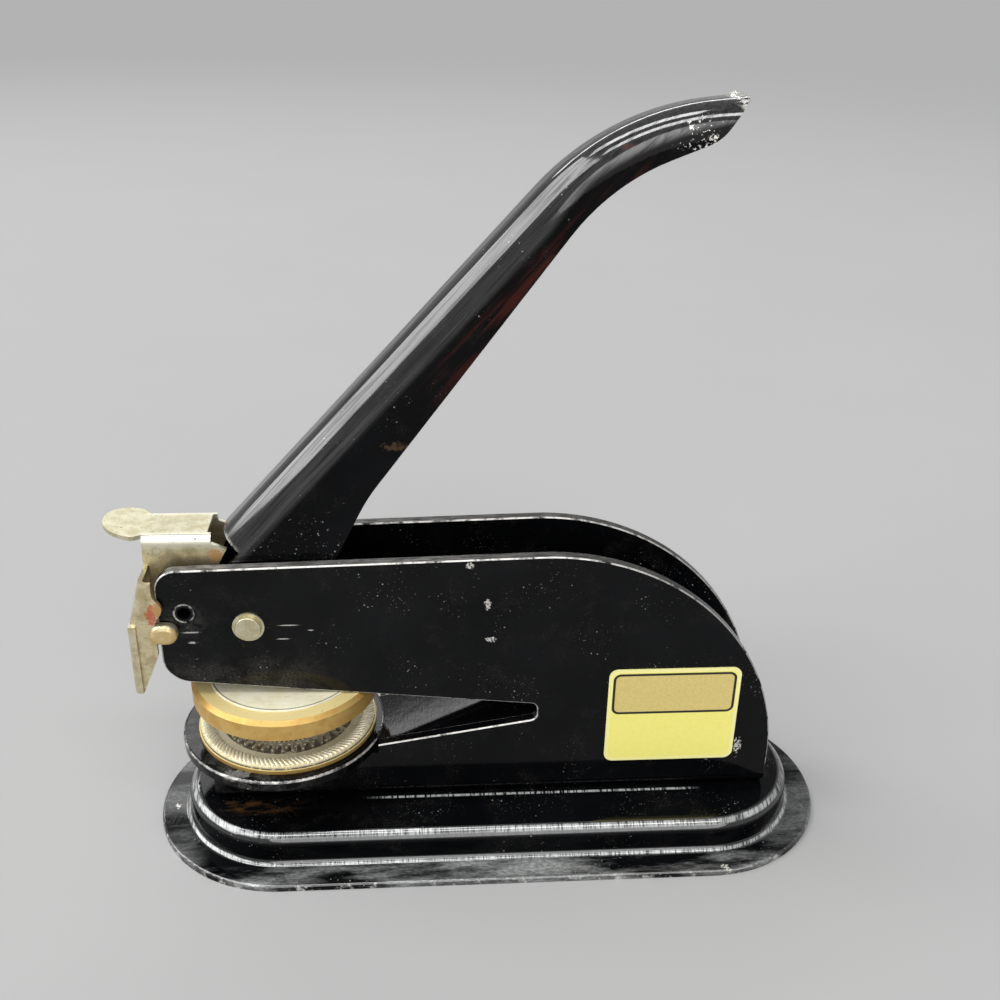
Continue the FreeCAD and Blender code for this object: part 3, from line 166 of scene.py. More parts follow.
class DieSettings(bpy.types.PropertyGroup):
    """Relief of the two dies."""

    ridges: IntProperty(
        name="Rope ridges", description="Slanted ridges round the border", default=112, min=12)
    beads: IntProperty(
        name="Beads", description="Beads inside the ring of bars", default=64, min=12)
    marks: IntProperty(
        name="Marks", description="Plain bars in the ring of relief", default=40, min=8)
    relief: FloatProperty(
        name="Relief", description="Height of the marks", default=0.5 * MM,
        subtype="DISTANCE", unit="LENGTH")


class StageSettings(bpy.types.PropertyGroup):
    """Floor and light."""

    floor: FloatVectorProperty(
        name="Floor", description="Colour of the floor", subtype="COLOR",
        default=(0.41, 0.41, 0.41), min=0, max=1)
    sun: FloatProperty(
        name="Fill light", description="Strength of the low soft light from the front", default=1.2)
    softbox: FloatProperty(
        name="Softboxes", description="Radiance of the large lamps seen in the gloss", default=7.0)
    ambient: FloatProperty(
        name="Ambient", description="Light of the plain surroundings on the object", default=0.28)
    backdrop: FloatProperty(
        name="Backdrop", description="Brightness of the surroundings as seen", default=0.45)


# ---------------------------------------------------------------- shader maths
class Value:
    """A shader socket; arithmetic on it adds Math nodes."""

    def __init__(self, nodes, socket):
        self.nodes = nodes
        self.socket = socket

    def maths(self, operation, *values):
        """A Math node on some values and numbers."""
        return self.nodes.value(self.nodes.node("ShaderNodeMath", {"operation": operation},
                                                dict(enumerate(values))))

    def __add__(self, other):
        return self.maths("ADD", self, other)

    def __sub__(self, other):
        return self.maths("SUBTRACT", self, other)

    def __rsub__(self, other):
        return self.maths("SUBTRACT", other, self)

    def __mul__(self, other):
        return self.maths("MULTIPLY", self, other)

    __radd__ = __add__
    __rmul__ = __mul__

    def either(self, other):
        """The larger of two values."""
        return self.maths("MAXIMUM", self, other)

    def both(self, other):
        """The smaller of two values."""
        return self.maths("MINIMUM", self, other)

    def size(self):
        """The value without its sign."""
        return self.maths("ABSOLUTE", self)

    def root(self):
        """The value's square root."""
        return self.maths("SQRT", self)

    def step(self, low, high):
        """0 below low and 1 above high, smooth between them; low may be the larger."""
        return self.nodes.value(self.nodes.node("ShaderNodeMapRange", {"interpolation_type": "SMOOTHSTEP"},
                                                {"Value": self, "From Min": low, "From Max": high}))


def joined(masks):
    """The strongest of several masks."""
    total = masks[0]
    for mask in masks[1:]:
        total = total.either(mask)
    return total


def distance(x, y):
    """How far two coordinates are from their origin."""
    return (x * x + y * y).root()


class Nodes:
    """A node tree: every node comes from node(), and feed() fills a socket."""

    def __init__(self, tree):
        self.tree = tree

    def feed(self, socket, given):
        """Link a value or a socket to a socket, or write a number or colour on it."""
        given = given.socket if isinstance(given, Value) else given
        if isinstance(given, bpy.types.NodeSocket):
            self.tree.links.new(given, socket)
        else:
            socket.default_value = given

    def node(self, kind, settings=None, inputs=None):
        """A node of a kind, with its settings made first and then its inputs."""
        made = self.tree.nodes.new(kind)
        for name, setting in (settings or {}).items():
            setattr(made, name, setting)
        for name, given in (inputs or {}).items():
            self.feed(made.inputs[name], given)
        return made

    def value(self, node, output=0):
        """One of a node's outputs as a value."""
        return Value(self, node.outputs[output])

    def seen(self):
        """1 for the rays that show the surroundings: the camera's, and those in gloss or glass."""
        ray = self.node("ShaderNodeLightPath")
        return joined([self.value(ray, name)
                       for name in ("Is Camera Ray", "Is Glossy Ray", "Is Transmission Ray")])


class Finish(Nodes):
    """One material; patterns are measured in millimetres from the object's origin."""

    SURFACE = {"colour": "Base Color", "roughness": "Roughness", "metal": "Metallic",
               "coat": "Coat Weight", "normal": "Normal", "glow": "Emission Color"}
    FIRST_COLOUR, SECOND_COLOUR, MIXED_COLOUR = 6, 7, 2     # a Mix node's sockets for colours

    def __init__(self, name, **constants):
        self.material = bpy.data.materials.new(name)
        self.material.use_nodes = True
        super().__init__(self.material.node_tree)
        self.tree.nodes.clear()
        self.shader = self.node("ShaderNodeBsdfPrincipled", None, constants)
        self.node("ShaderNodeOutputMaterial", None, {"Surface": self.shader.outputs[0]})
        self.place = self.node("ShaderNodeTexCoord").outputs["Object"]
        self.outward = self.node("ShaderNodeNewGeometry").outputs["Normal"]

    def axes(self, vector=None):
        """The three coordinates in millimetres, or the parts of another vector."""
        source = vector or self.node("ShaderNodeVectorMath", {"operation": "SCALE"},
                                     {0: self.place, "Scale": PER_METRE}).outputs[0]
        split = self.node("ShaderNodeSeparateXYZ", None, {0: source})
        return [self.value(split, i) for i in range(3)]

    def stretched(self, centre=(0, 0, 0), turn=(0, 0, 0), scale=(1, 1, 1)):
        """Coordinates in millimetres about a centre, turned and then scaled."""
        shift = self.node("ShaderNodeVectorMath", {"operation": "SUBTRACT"},
                          {0: self.place, 1: [c * MM for c in centre]})
        turned = self.node("ShaderNodeMapping", {"vector_type": "POINT"},
                           {"Vector": shift.outputs[0], "Rotation": turn})
        return self.node("ShaderNodeVectorMath", {"operation": "MULTIPLY"},
                         {0: turned.outputs[0], 1: [s * PER_METRE for s in scale]}).outputs[0]

    def noise(self, size, detail=2.0, roughness=0.5, turn=(0, 0, 0), scale=(1, 1, 1)):
        """Noise from 0 to 1 with lumps of about size millimetres, drawn out where scale is small."""
        return self.value(self.node("ShaderNodeTexNoise", None, {
            "Vector": self.stretched(turn=turn, scale=scale), "Scale": 1.0 / size,
            "Detail": detail, "Roughness": roughness}))

    def cells(self, size):
        """Distance to the nearest of points strewn about size millimetres apart."""
        return self.value(self.node("ShaderNodeTexVoronoi", None, {
            "Vector": self.stretched(), "Scale": 1.0 / size}))

    def spot(self, centre, radii):
        """1 in a blotch about centre, fading out at its radii, with a ragged edge."""
        vector = self.stretched(centre, scale=[1 / r for r in radii])
        far = self.value(self.node("ShaderNodeVectorMath", {"operation": "LENGTH"}, {0: vector}), 1)
        ragged = self.noise(min(radii) * 0.8, 4.0, 0.65)
        return (far + (ragged - 0.5) * 2.4).step(1.0, 0.75)

    def mix(self, amount, first, second):
        """A colour between two colours."""
        inputs = {0: amount}
        for slot, colour in ((self.FIRST_COLOUR, first), (self.SECOND_COLOUR, second)):
            inputs[slot] = (*colour, 1) if isinstance(colour, tuple) else colour
        return self.node("ShaderNodeMix", {"data_type": "RGBA"}, inputs).outputs[self.MIXED_COLOUR]

    def bump(self, height, depth, before=None):
        """A bump of depth millimetres over a height from 0 to 1, on top of an earlier bump."""
        inputs = {"Height": height, "Distance": depth * MM, "Strength": 1.0}
        if before:
            inputs["Normal"] = before
        return self.node("ShaderNodeBump", None, inputs).outputs[0]

    def set(self, **surface):
        """Feed the shader's sockets and return the material."""
        for name, given in surface.items():
            self.feed(self.shader.inputs[self.SURFACE[name]], given)
        return self.material


# ---------------------------------------------------------------- helpers for the finishes
def add_material(obj, material):
    """Make a material the only one of an object."""
    obj.data.materials.clear()
    obj.data.materials.append(material)


def dress(material, *nodes):
    """Give a material to some CAD nodes."""
    for node in nodes:
        add_material(frame["nodes"][node], material)


def tinted(colour, factors):
    """A colour with each channel multiplied by its own factor."""
    return tuple(min(1, c * f) for c, f in zip(colour, factors))


def box_mm(lo, hi):
    """The middle and the half sizes of a box, in millimetres."""
    return [(a + b) / 2 / MM for a, b in zip(lo, hi)], [(b - a) / 2 / MM for a, b in zip(lo, hi)]


def facing(finish):
    """How far the surface faces up, and how far it faces either side."""
    _, across, up = finish.axes(finish.outward)
    return up, across.size()


def rounded_box(x, z, half_x, half_z, radius):
    """Signed distance in millimetres to the outline of a rounded rectangle."""
    past_x, past_z = x.size() - (half_x - radius), z.size() - (half_z - radius)
    corner = distance(past_x.either(0.0), past_z.either(0.0))
    return corner + past_x.either(past_z).both(0.0) - radius


# ---------------------------------------------------------------- enamel
# Places, sizes and heights in the finishes are in millimetres on the object at rest. A mask is a value
# from 0 to 1; a wear function gives one mask, a tint function gives masks with their colours.
def enamel(name, chips, wear=None, tint=None, polish=None, turn=(0, 0, 0), scale=(1, 0.15, 0.15)):
    """Glossy black enamel with specks, hairline scratches, chips, worn edges and polished bends."""
    look = bpy.context.scene.embosser_enamel
    finish = Finish(f"enamel_{name}", **{"IOR": 1.45, "Specular IOR Level": look.shine,
                                         "Coat IOR": 2.0, "Coat Roughness": 0.08})
    black = tuple(look.colour)
    mottle = finish.noise(14.0, 4.0)
    colour = finish.mix(mottle.step(0.35, 0.75), black, tuple(c * 1.8 + 0.0006 for c in black))
    for mask, shade in (tint(finish) if tint else ()):
        colour = finish.mix(mask, colour, shade)
    crowd = finish.noise(11.0, 3.0)
    specks = finish.cells(1.5).step(0.15, 0.05) * crowd.step(0.50, 0.64)
    fine = finish.cells(0.7).step(0.17, 0.07) * crowd.step(0.48, 0.68) * 0.45
    dust = specks.either(fine) * look.dust
    hair = finish.noise(0.32, 2.0, turn=(0.1, 0.5, 0.2), scale=(0.025, 1, 1))
    scratch = hair.step(0.73, 0.79) * finish.noise(12.0, 2.0).step(0.52, 0.64) * 0.5
    colour = finish.mix(dust.either(scratch), colour, DUST)
    film = finish.noise(6.0, 5.0, 0.7).step(0.50, 0.72) * finish.noise(0.5, 3.0, 0.7).step(0.35, 0.7)
    colour = finish.mix(film * 0.10, colour, FILM)
    bits = finish.noise(0.55, 3.0, 0.6).step(0.43, 0.50)
    chipped = [finish.spot(centre, radii) * bits for centre, radii in chips]
    bare = joined(chipped + ([wear(finish)] if wear else []))
    metal = finish.mix(finish.noise(1.4, 3.0), (0.50, 0.48, 0.45), (0.84, 0.82, 0.79))
    colour = finish.mix(bare, colour, metal)
    rough = look.gloss + film * 0.14 + dust * 0.4 + scratch * 0.5 + bare * 0.25
    peel = finish.bump(finish.noise(2.4, 2.0), 0.010)
    brushed = finish.bump(finish.noise(0.5, 3.0, 0.6, turn, scale), 0.014, peel)
    coat = (polish(finish) if polish else finish.noise(20.0, 1.0) * 0.1) * (1 - bare)
    return finish.set(colour=colour, roughness=rough, metal=bare * 0.5, coat=coat,
                      normal=finish.bump(bare, -0.04, finish.bump(dust, 0.03, brushed)))


def worn_plates_and_sheen(finish):
    """Pale worn lines on the plates' long edges, a dull film on their narrow tops that is also a painted
    sheen, and a few rubs.
    """
    x, _, z = finish.axes()
    up, across = facing(finish)
    edge = across.step(0.18, 0.40) * across.step(0.99, 0.93) * z.step(14.0, 16.0)
    broken = finish.noise(3.0, 5.0, 0.7).step(0.34, 0.52) * (1 - x.step(20.0, 60.0) * 0.5)
    # painted sheen: a pale film on the narrow tops, strongest towards the front end
    film = up.step(0.80, 0.95) * z.step(60.0, 63.0) * (x.step(30.0, -45.0) * 0.6 + 0.4)
    fine = finish.noise(0.5, 4.0, 0.7, scale=(0.12, 1, 1)).step(0.30, 0.74)
    rubs = (((-61.6, NEAR_PLATE, 53.1), (1.9, 2.0, 0.20)), ((-61.4, NEAR_PLATE, 50.6), (0.9, 2.0, 0.3)),
            ((-41.4, NEAR_PLATE, 54.4), (2.2, 2.0, 0.16)), ((-42.7, NEAR_PLATE, 51.1), (1.5, 2.0, 0.16)),
            ((-36.9, NEAR_PLATE, 53.1), (0.7, 2.0, 0.14)))
    rub = joined([finish.spot(centre, radii) for centre, radii in rubs])
    return joined([edge * broken * 0.95, film * (fine * 0.34 + 0.06), rub * 0.7])


def plate_dust(finish):
    """A brownish dusty film low on the front end of the plates, and a grey halo round the rivet."""
    x, y, z = finish.axes()
    low = z.step(49.0, 43.0) * x.step(-30.0, -42.0) * y.step(NEAR_PLATE + 0.3, NEAR_PLATE + 0.05)
    grey = finish.noise(5.0, 5.0, 0.7).step(0.36, 0.62) * finish.noise(0.5, 3.0, 0.7).step(0.25, 0.7)
    halo = finish.spot((-62.5, NEAR_PLATE, 56.0), (5.0, 2.0, 5.0))
    halo = halo * finish.noise(1.6, 4.0, 0.7).step(0.36, 0.66)
    return [(low * grey * 0.45, (0.075, 0.068, 0.057)), (halo * 0.35, (0.075, 0.073, 0.068))]


def worn_flange(finish):
    """The rubbed outer edge of the flange."""
    _, _, z = finish.axes()
    up, _ = facing(finish)
    edge = up.step(0.92, 0.75) * z.step(1.7, 1.45)
    return edge * finish.noise(3.0, 5.0, 0.7).step(0.52, 0.66) * 0.8


def polished_base(finish):
    """The pressed steps' bends catch more light than the flat parts."""
    up, _ = facing(finish)
    streaks = finish.noise(0.7, 3.0, 0.65, scale=(1, 0.1, 0.1))
    bend = up.step(0.15, 0.45) * up.step(0.998, 0.97)
    return bend * (streaks * 0.6 + 0.5)


def base_marks_and_highlights(finish):
    """Rust and a pale broken line in front of the frame, bends rubbed and given a painted highlight, and a
    grey haze on the flange that is also a painted reflection.
    """
    x, y, z = finish.axes()
    up, _ = facing(finish)
    plateau, flange = z.step(8.0, 8.6), z.step(3.2, 2.2)
    dashes = finish.noise(0.45, 3.0, 0.65, scale=(1, 0.1, 0.1))
    patchy = finish.noise(13.0, 3.0).step(0.34, 0.58)
    # painted highlight: pale dashed streaks along the bends, partly wear
    rubbed = up.step(0.56, 0.72) * up.step(0.97, 0.90) * z.step(1.42, 1.55) * dashes.step(0.34, 0.60)
    # a pale broken line on the plateau along the frame's foot
    foot = (y + 11.0).size().step(0.50, 0.20) * x.step(-28.0, -20.0) * x.step(50.0, 44.0) * plateau
    front = x.step(-60.0, -57.0) * x.step(-38.0, -48.0) * y.step(-10.4, -11.4) * y.step(-16.0, -14.0)
    streak = finish.noise(1.4, 4.0, 0.6, scale=(0.3, 1, 1)).step(0.42, 0.66)
    # a grey haze on the flange, partly dust and partly a painted reflection
    haze_and_sheen_streaks = finish.noise(7.0, 5.0, 0.65, scale=(0.25, 1, 1)).step(0.40, 0.66)
    grain = finish.noise(0.5, 4.0, 0.7, scale=(0.5, 1, 1)).step(0.30, 0.70)
    sides = flange * y.size().step(23.0, 25.0) * haze_and_sheen_streaks * (grain * 0.6 + 0.4)
    ends = flange * x.size().step(60.0, 66.0) * haze_and_sheen_streaks * (grain * 0.25 + 0.2)
    return [(front * plateau * streak, RUST), (sides.either(ends) * 0.85, HAZE_AND_REFLECTION),
            (rubbed * (patchy * 0.6 + 0.4) * 0.8, RUBBED_AND_HIGHLIGHT), (foot * dashes.step(0.40, 0.56) * 0.8, RUBBED_AND_HIGHLIGHT)]


def lever_place(finish):
    """Coordinates along the lever's back and square to it, in millimetres from its pivot."""
    x, _, z = finish.axes()
    x, z = x - LEVER_PIVOT[0], z - LEVER_PIVOT[1]
    cos, sin = math.cos(LEVER_LEAN), math.sin(LEVER_LEAN)
    return x * cos + z * sin, z * cos - x * sin


def worn_lever(finish):
    """Bare metal round the end of the grip, scuffs beside it and a rubbed front end of the back."""
    along, out = lever_place(finish)
    tip = along.step(138.6, 139.8)
    front = along.step(11.5, 10.7) * out.step(11.0, 13.0)
    ragged = finish.noise(1.3, 4.0, 0.7).step(0.42, 0.58)
    scuffs = finish.spot((36.5, -7.0, 154.0), (2.0, 3.0, 2.4)) * finish.noise(0.6, 3.0).step(0.58, 0.64)
    low = finish.spot((37.5, -7.5, 151.0), (4.0, 3.0, 1.0)) * finish.noise(0.5, 3.0).step(0.55, 0.62)
    return joined([tip * ragged, front * ragged * 0.45, scuffs, low])


def polished_lever(finish):
    """The crown of the back, which hands have polished, followed round the bend of the grip."""
    along, out = lever_place(finish)
    past = (along - GRIP_BEND).either(0.0)
    depth = BACK_HEIGHT - past * past * GRIP_DROOP - out
    crown = (depth + along.step(98.0, 114.0) * 1.8).step(7.0, 5.2)
    lines = finish.noise(0.5, 3.0, 0.6, LEVER_TURN, ALONG_LEVER)
    return crown * (lines.step(0.30, 0.62) * 0.5 + 0.4)


def lever_painted_sheen_and_smudge(finish):
    """A painted reddish brown sheen streaked low on the lever's walls and in a small patch, and a brown
    smudge.
    """
    along, out = lever_place(finish)
    streak = finish.noise(1.6, 4.0, 0.6, LEVER_TURN, (0.08, 1, 1))
    # painted sheen: a reddish brown streaked low on the walls, and a patch of it
    low = out.step(9.6, 6.4) * along.step(55.0, 80.0) * along.step(125.0, 112.0)
    patch = finish.spot((23.6, -7.5, 150.5), (1.6, 2.0, 0.6))
    smudge = finish.spot((-18.5, -7.5, 93.2), (3.0, 3.0, 1.0)) * finish.noise(1.0, 3.0).step(0.35, 0.6)
    return [((low * streak.step(0.46, 0.62)).either(patch), (0.040, 0.009, 0.007)),
            (smudge * 0.5, (0.11, 0.07, 0.03))]


def worn_pan(finish):
    """A thin rubbed line round the top of the pan's rim."""
    _, _, z = finish.axes()
    up, _ = facing(finish)
    edge = up.step(0.25, 0.45) * up.step(0.97, 0.85) * z.step(22.0, 22.4)
    return edge * finish.noise(3.0, 5.0, 0.7).step(0.40, 0.62) * 0.8


def pan_dust(finish):
    """A grey dusty film on the front of the pan's rim, with a thicker smear on the near side."""
    x, _, z = finish.axes()
    grain = finish.noise(0.5, 3.0, 0.7).step(0.25, 0.70)
    rim = z.step(20.0, 21.5) * x.step(-32.0, -48.0) * finish.noise(3.5, 5.0, 0.7).step(0.42, 0.62)
    smear = finish.spot((-53.5, -19.4, 23.2), (3.0, 1.6, 1.8)) * (grain * 0.6 + 0.4)
    return [(rim * grain * 0.6, (0.085, 0.085, 0.080)), (smear * 0.7, (0.22, 0.22, 0.21))]


def polished_pan(finish):
    """The pan's rolled rim shines, its flat floor less."""
    up, _ = facing(finish)
    return up.step(0.1, 0.5) * up.step(0.995, 0.96) * 0.6


def worn_rivet(finish):
    """The rubbed lip round the guide rivet's bore."""
    lo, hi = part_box("guide_rivet")
    middle, _ = box_mm(lo, hi)
    x, _, z = finish.axes(finish.stretched(middle))
    reach = distance(x, z)
    lip = reach.step(1.75, 1.95) * reach.step(2.3, 2.1)
    return lip * finish.noise(1.6, 4.0, 0.7).step(0.42, 0.62) * 0.7


# ---------------------------------------------------------------- nickel, brass, steel and foil
def nickel(name, stains=(), fold=None, shade=0.4, lip=None):
    """Worn warm nickel: brushed, mottled and stained, with painted shade on its sides and a painted
    highlight on its lip.
    """
    colour = tuple(bpy.context.scene.embosser_metal.nickel)
    finish = Finish(f"nickel_{name}")
    brushed = finish.noise(0.22, 2.0, scale=(0.06, 1, 1))
    blotch = finish.noise(2.6, 5.0, 0.7)
    up, _ = facing(finish)
    tone = finish.mix(blotch.step(0.38, 0.64), colour, tinted(colour, (0.80, 0.75, 0.64)))
    # painted shade: the sides take a darker, browner copy of the nickel
    dark = finish.mix(blotch.step(0.36, 0.62), (0.74, 0.63, 0.38), (0.48, 0.38, 0.20))
    side = up.step(0.7, 0.2)
    # the fold's painted highlight lifts the painted shade off the top of the flanks
    if fold:
        side = side * (1 - fold(finish))
    tone = finish.mix(side * shade, tone, dark)
    # painted shade in streaks down the sides, partly brushing
    streak = finish.noise(1.3, 4.0, 0.6, scale=(1, 1, 0.14))
    tone = finish.mix(side * streak.step(0.46, 0.60) * shade * 0.8, tone, dark)
    # painted highlight on the lip
    if lip:
        tone = finish.mix(lip(finish), tone, (0.92, 0.90, 0.78))
    grime = finish.noise(0.8, 4.0, 0.7).step(0.60, 0.72)
    tone = finish.mix(grime * 0.7, tone, (0.14, 0.10, 0.05))
    metal = 0.85 - grime * 0.4
    for centre, radii, stain in stains:
        patch = finish.spot(centre, radii) * finish.noise(0.9, 4.0, 0.7).step(0.22, 0.50)
        tone = finish.mix(patch * 0.8, tone, stain)
        metal = metal - patch * 0.5
    rough = 0.26 + blotch * 0.18 + grime * 0.3 + (brushed - 0.5) * 0.10
    normal = finish.bump(finish.noise(0.7, 3.0), 0.02, finish.bump(brushed, 0.008))
    return finish.set(colour=tone, roughness=rough, metal=metal.either(0.0), normal=normal)


def fold_painted_highlight(finish):
    """A painted highlight on the catch's flanks just under the rounded fold."""
    _, _, z = finish.axes()
    return z.step(69.0, 71.4) * 0.9


def lip_painted_highlight(finish):
    """A painted highlight: a pale brushed band along the rounded folds of the catch."""
    x, y, z = finish.axes()
    streak = finish.noise(0.6, 3.0, 0.6, scale=(0.08, 1, 1))
    return y.size().step(3.0, 5.0) * z.step(69.8, 72.0) * x.step(-71.6, -69.6) * (streak * 0.5 + 0.5)


def hem_painted_light_and_shade(finish):
    """Painted light and shade down the front of the wings: the hem and the strip above it are kept out of
    the painted shade, but for two darker lines along the hem.
    """
    x, _, z = finish.axes()
    band = x.step(-72.1, -72.4) * z.step(56.5, 55.5)
    line = (x + 73.0).size().step(0.12, 0.28) * (x + 72.3).size().step(0.08, 0.2)
    return (band * (line * 0.75 + 0.25)).either(z.step(57.0, 59.0) * x.step(-70.6, -71.6) * 0.8)


def brass():
    """Turned brass: fine turning lines, a paler top face as a painted highlight and darker sides as painted
    shade.
    """
    colour = tuple(bpy.context.scene.embosser_metal.brass)
    finish = Finish("brass_turned")
    turned = finish.noise(0.25, 2.0, scale=(0.05, 0.05, 1))
    blotch = finish.noise(3.2, 5.0, 0.65)
    up, _ = facing(finish)
    # painted shade: the sides get darker copies of the brass, blotched
    side = finish.mix(blotch.step(0.36, 0.66), tinted(colour, (0.86, 0.78, 0.66)),
                      tinted(colour, (0.76, 0.60, 0.42)))
    # painted highlight: faces turned up get a paler copy of the brass
    tone = finish.mix(up.step(0.72, 0.95), side, tinted(colour, (1.12, 1.24, 1.5)))
    dirt = finish.noise(0.8, 4.0, 0.7).step(0.62, 0.72)
    tone = finish.mix(dirt * 0.5, tone, (0.20, 0.12, 0.05))
    rough = 0.38 + blotch * 0.14 + (turned - 0.5) * 0.08
    return finish.set(colour=tone, roughness=rough, metal=0.62 - up.step(0.9, 0.97) * 0.42 - dirt * 0.15,
                      normal=finish.bump(turned, 0.008))


def bare_steel(name, tint=(1, 1, 1), roughness=0.28, grime=0.4, metal=0.88, centre=None, groove=None,
               ground=None):
    """Bare steel; with a centre it has turning rings and a dark groove, and below its ground it is dark."""
    colour = tinted(bpy.context.scene.embosser_metal.steel, tint)
    finish = Finish(f"steel_{name}")
    if centre:
        x, y, _ = finish.axes(finish.stretched(centre))
        radius = distance(x, y)
        rings = finish.value(finish.node("ShaderNodeTexNoise", {"noise_dimensions": "1D"},
                                         {"W": radius * 4.0, "Scale": 1.0, "Detail": 3.0}))
    else:
        rings = finish.noise(0.3, 2.0, scale=(1, 1, 0.1))
    blotch = finish.noise(3.0, 5.0, 0.65)
    dirt = finish.noise(1.1, 4.0, 0.7).step(0.56, 0.70) * grime
    if groove:
        dirt = dirt.either((radius - groove).size().step(0.22, 0.08) * 0.8)
    tone = finish.mix(blotch.step(0.4, 0.7) * 0.6, colour, tinted(colour, (0.86, 0.78, 0.60)))
    tone = finish.mix(rings.step(0.35, 0.65) * 0.25, tone, tinted(colour, (0.55, 0.55, 0.55)))
    if ground:
        low, high = ground
        _, _, z = finish.axes()
        dirt = dirt.either(z.step(high, low) * finish.noise(1.3, 3.0).step(0.30, 0.46) * 0.92)
    tone = finish.mix(dirt, tone, (0.055, 0.045, 0.032))
    rough = roughness + blotch * 0.15 + dirt * 0.3
    return finish.set(colour=tone, roughness=rough, metal=metal - dirt * 0.5,
                      normal=finish.bump(rings, 0.012))


def label_foil():
    """Gold-coloured foil: a tan panel in a black line on a pale-edged yellow field, left blank."""
    finish = Finish("label_foil")
    lo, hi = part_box("label")
    middle, half = box_mm(lo, hi)
    x, _, z = finish.axes(finish.stretched(middle))
    outline = rounded_box(x, z - half[2] * 0.475, half[0] * 0.915, half[2] * 0.41, 1.4)
    border = rounded_box(x, z, half[0] - 0.7, half[2] - 0.7, 1.6)
    worn = finish.noise(1.1, 5.0, 0.7)
    grain = finish.noise(0.35, 2.0)
    field = finish.mix(worn.step(0.4, 0.8) * 0.6, (0.98, 0.91, 0.24), (0.94, 0.82, 0.20))
    field = finish.mix(border.step(-0.3, 0.1) * 0.7, field, (0.98, 0.95, 0.46))
    panel = finish.mix(grain.step(0.3, 0.7) * 0.6, (0.76, 0.62, 0.22), (0.62, 0.48, 0.17))
    tone = finish.mix(outline.step(0.06, -0.06), field, panel)
    tone = finish.mix(outline.size().step(0.35, 0.23), tone, (0.012, 0.010, 0.008))
    rub = finish.noise(0.9, 4.0, 0.7).step(0.66, 0.74) * 0.5
    tone = finish.mix(rub, tone, (0.55, 0.48, 0.25))
    return finish.set(colour=tone, roughness=0.34 + worn * 0.14, metal=0.12,
                      normal=finish.bump(finish.noise(3.0, 3.0), 0.012))


# ---------------------------------------------------------------- mesh helpers
def deselect():
    """Leave nothing selected."""
    for item in bpy.context.view_layer.objects:
        item.select_set(False)


def pick(*parts):
    """Select only these objects and make the first one active."""
    deselect()
    for part in parts:
        part.select_set(True)
    bpy.context.view_layer.objects.active = parts[0]


def named(name):
    """Name the active object and its data."""
    obj = bpy.context.object
    obj.name = obj.data.name = name
    return obj


def settle(obj):
    """Put the object's place into its mesh, so that the object sits at the origin."""
    pick(obj)
    bpy.ops.object.transform_apply(location=True, rotation=True, scale=True)
    return obj


def join(parts, name):
    """Make one named object of several."""
    pick(*parts)
    bpy.ops.object.join()
    return settle(named(name))


def apply_modifier(obj, kind, **settings):
    """Add a modifier to the active object and apply it."""
    bpy.ops.object.modifier_add(type=kind)
    modifier = obj.modifiers[-1]
    for name, setting in settings.items():
        setattr(modifier, name, setting)
    bpy.ops.object.modifier_apply(modifier=modifier.name)


def smooth(obj, degrees=35):
    """Shade an object smooth over edges blunter than an angle."""
    pick(obj)
    bpy.ops.object.shade_smooth_by_angle(angle=math.radians(degrees))


def upright_turn(centre, share):
    """The matrix of a share of a full turn about an upright axis."""
    axis = Matrix.Translation(centre)
    return axis @ Matrix.Rotation(math.tau * share, 4, "Z") @ axis.inverted()


def copies_round(seed, count, centre):
    """Copies of a finished mesh turned about an upright axis, each with its own mesh."""
    made = [seed]
    for i in range(1, count):
        twin = seed.copy()
        twin.data = seed.data.copy()
        twin.data.transform(upright_turn(centre, i / count))
        bpy.context.collection.objects.link(twin)
        made.append(twin)
    return made


def select_faces(obj, wanted):
    """In edit mode, select the faces whose normal passes the test."""
    mesh = bmesh.from_edit_mesh(obj.data)
    for face in mesh.faces:
        face.select_set(wanted(face.normal))
    bmesh.update_edit_mesh(obj.data)


def round_seat(lo, hi):
    """The middle of a round box's underside and its radius."""
    return Vector(((lo.x + hi.x) / 2, (lo.y + hi.y) / 2, lo.z)), (hi.x - lo.x) / 2


def turned_disc(name, centre, radius, height, steps, up=True):
    """A disc whose face is stepped by insets: (inset, rise) pairs in millimetres, from the rim inwards."""
    bpy.ops.mesh.primitive_cylinder_add(vertices=160, radius=radius, depth=height,
                                        location=(centre[0], centre[1], centre[2] + height / 2))
    disc = settle(named(name))
    bpy.ops.object.mode_set(mode="EDIT")
    bpy.ops.mesh.select_mode(type="FACE")
    sign = 1 if up else -1
    select_faces(disc, lambda normal: normal.z * sign > 0.9)
    for inset, rise in steps:
        bpy.ops.mesh.inset(thickness=inset * MM)
        if rise:
            bpy.ops.mesh.extrude_region_move(TRANSFORM_OT_translate={"value": (0, 0, rise * MM * sign)})
    bpy.ops.object.mode_set(mode="OBJECT")
    return disc


def rope_border(sizes, middle, radius, height):
    """Slanted ridges side by side round a circle."""
    bpy.ops.mesh.primitive_cylinder_add(vertices=8, radius=0.46 * MM, depth=2.9 * MM,
                                        location=(middle.x + radius, middle.y, height),
                                        rotation=(0, math.radians(90), math.radians(34)))
    ridge = settle(named("rope_ridge"))
    apply_modifier(ridge, "BEVEL", width=0.2 * MM, segments=1)
    return copies_round(ridge, sizes.ridges, middle)


def bead_ring(sizes, middle, radius, height):
    """Small beads round a circle."""
    bpy.ops.mesh.primitive_uv_sphere_add(segments=10, ring_count=6, radius=0.36 * MM,
                                         location=(middle.x + radius, middle.y, height))
    return copies_round(settle(named("bead")), sizes.beads, middle)


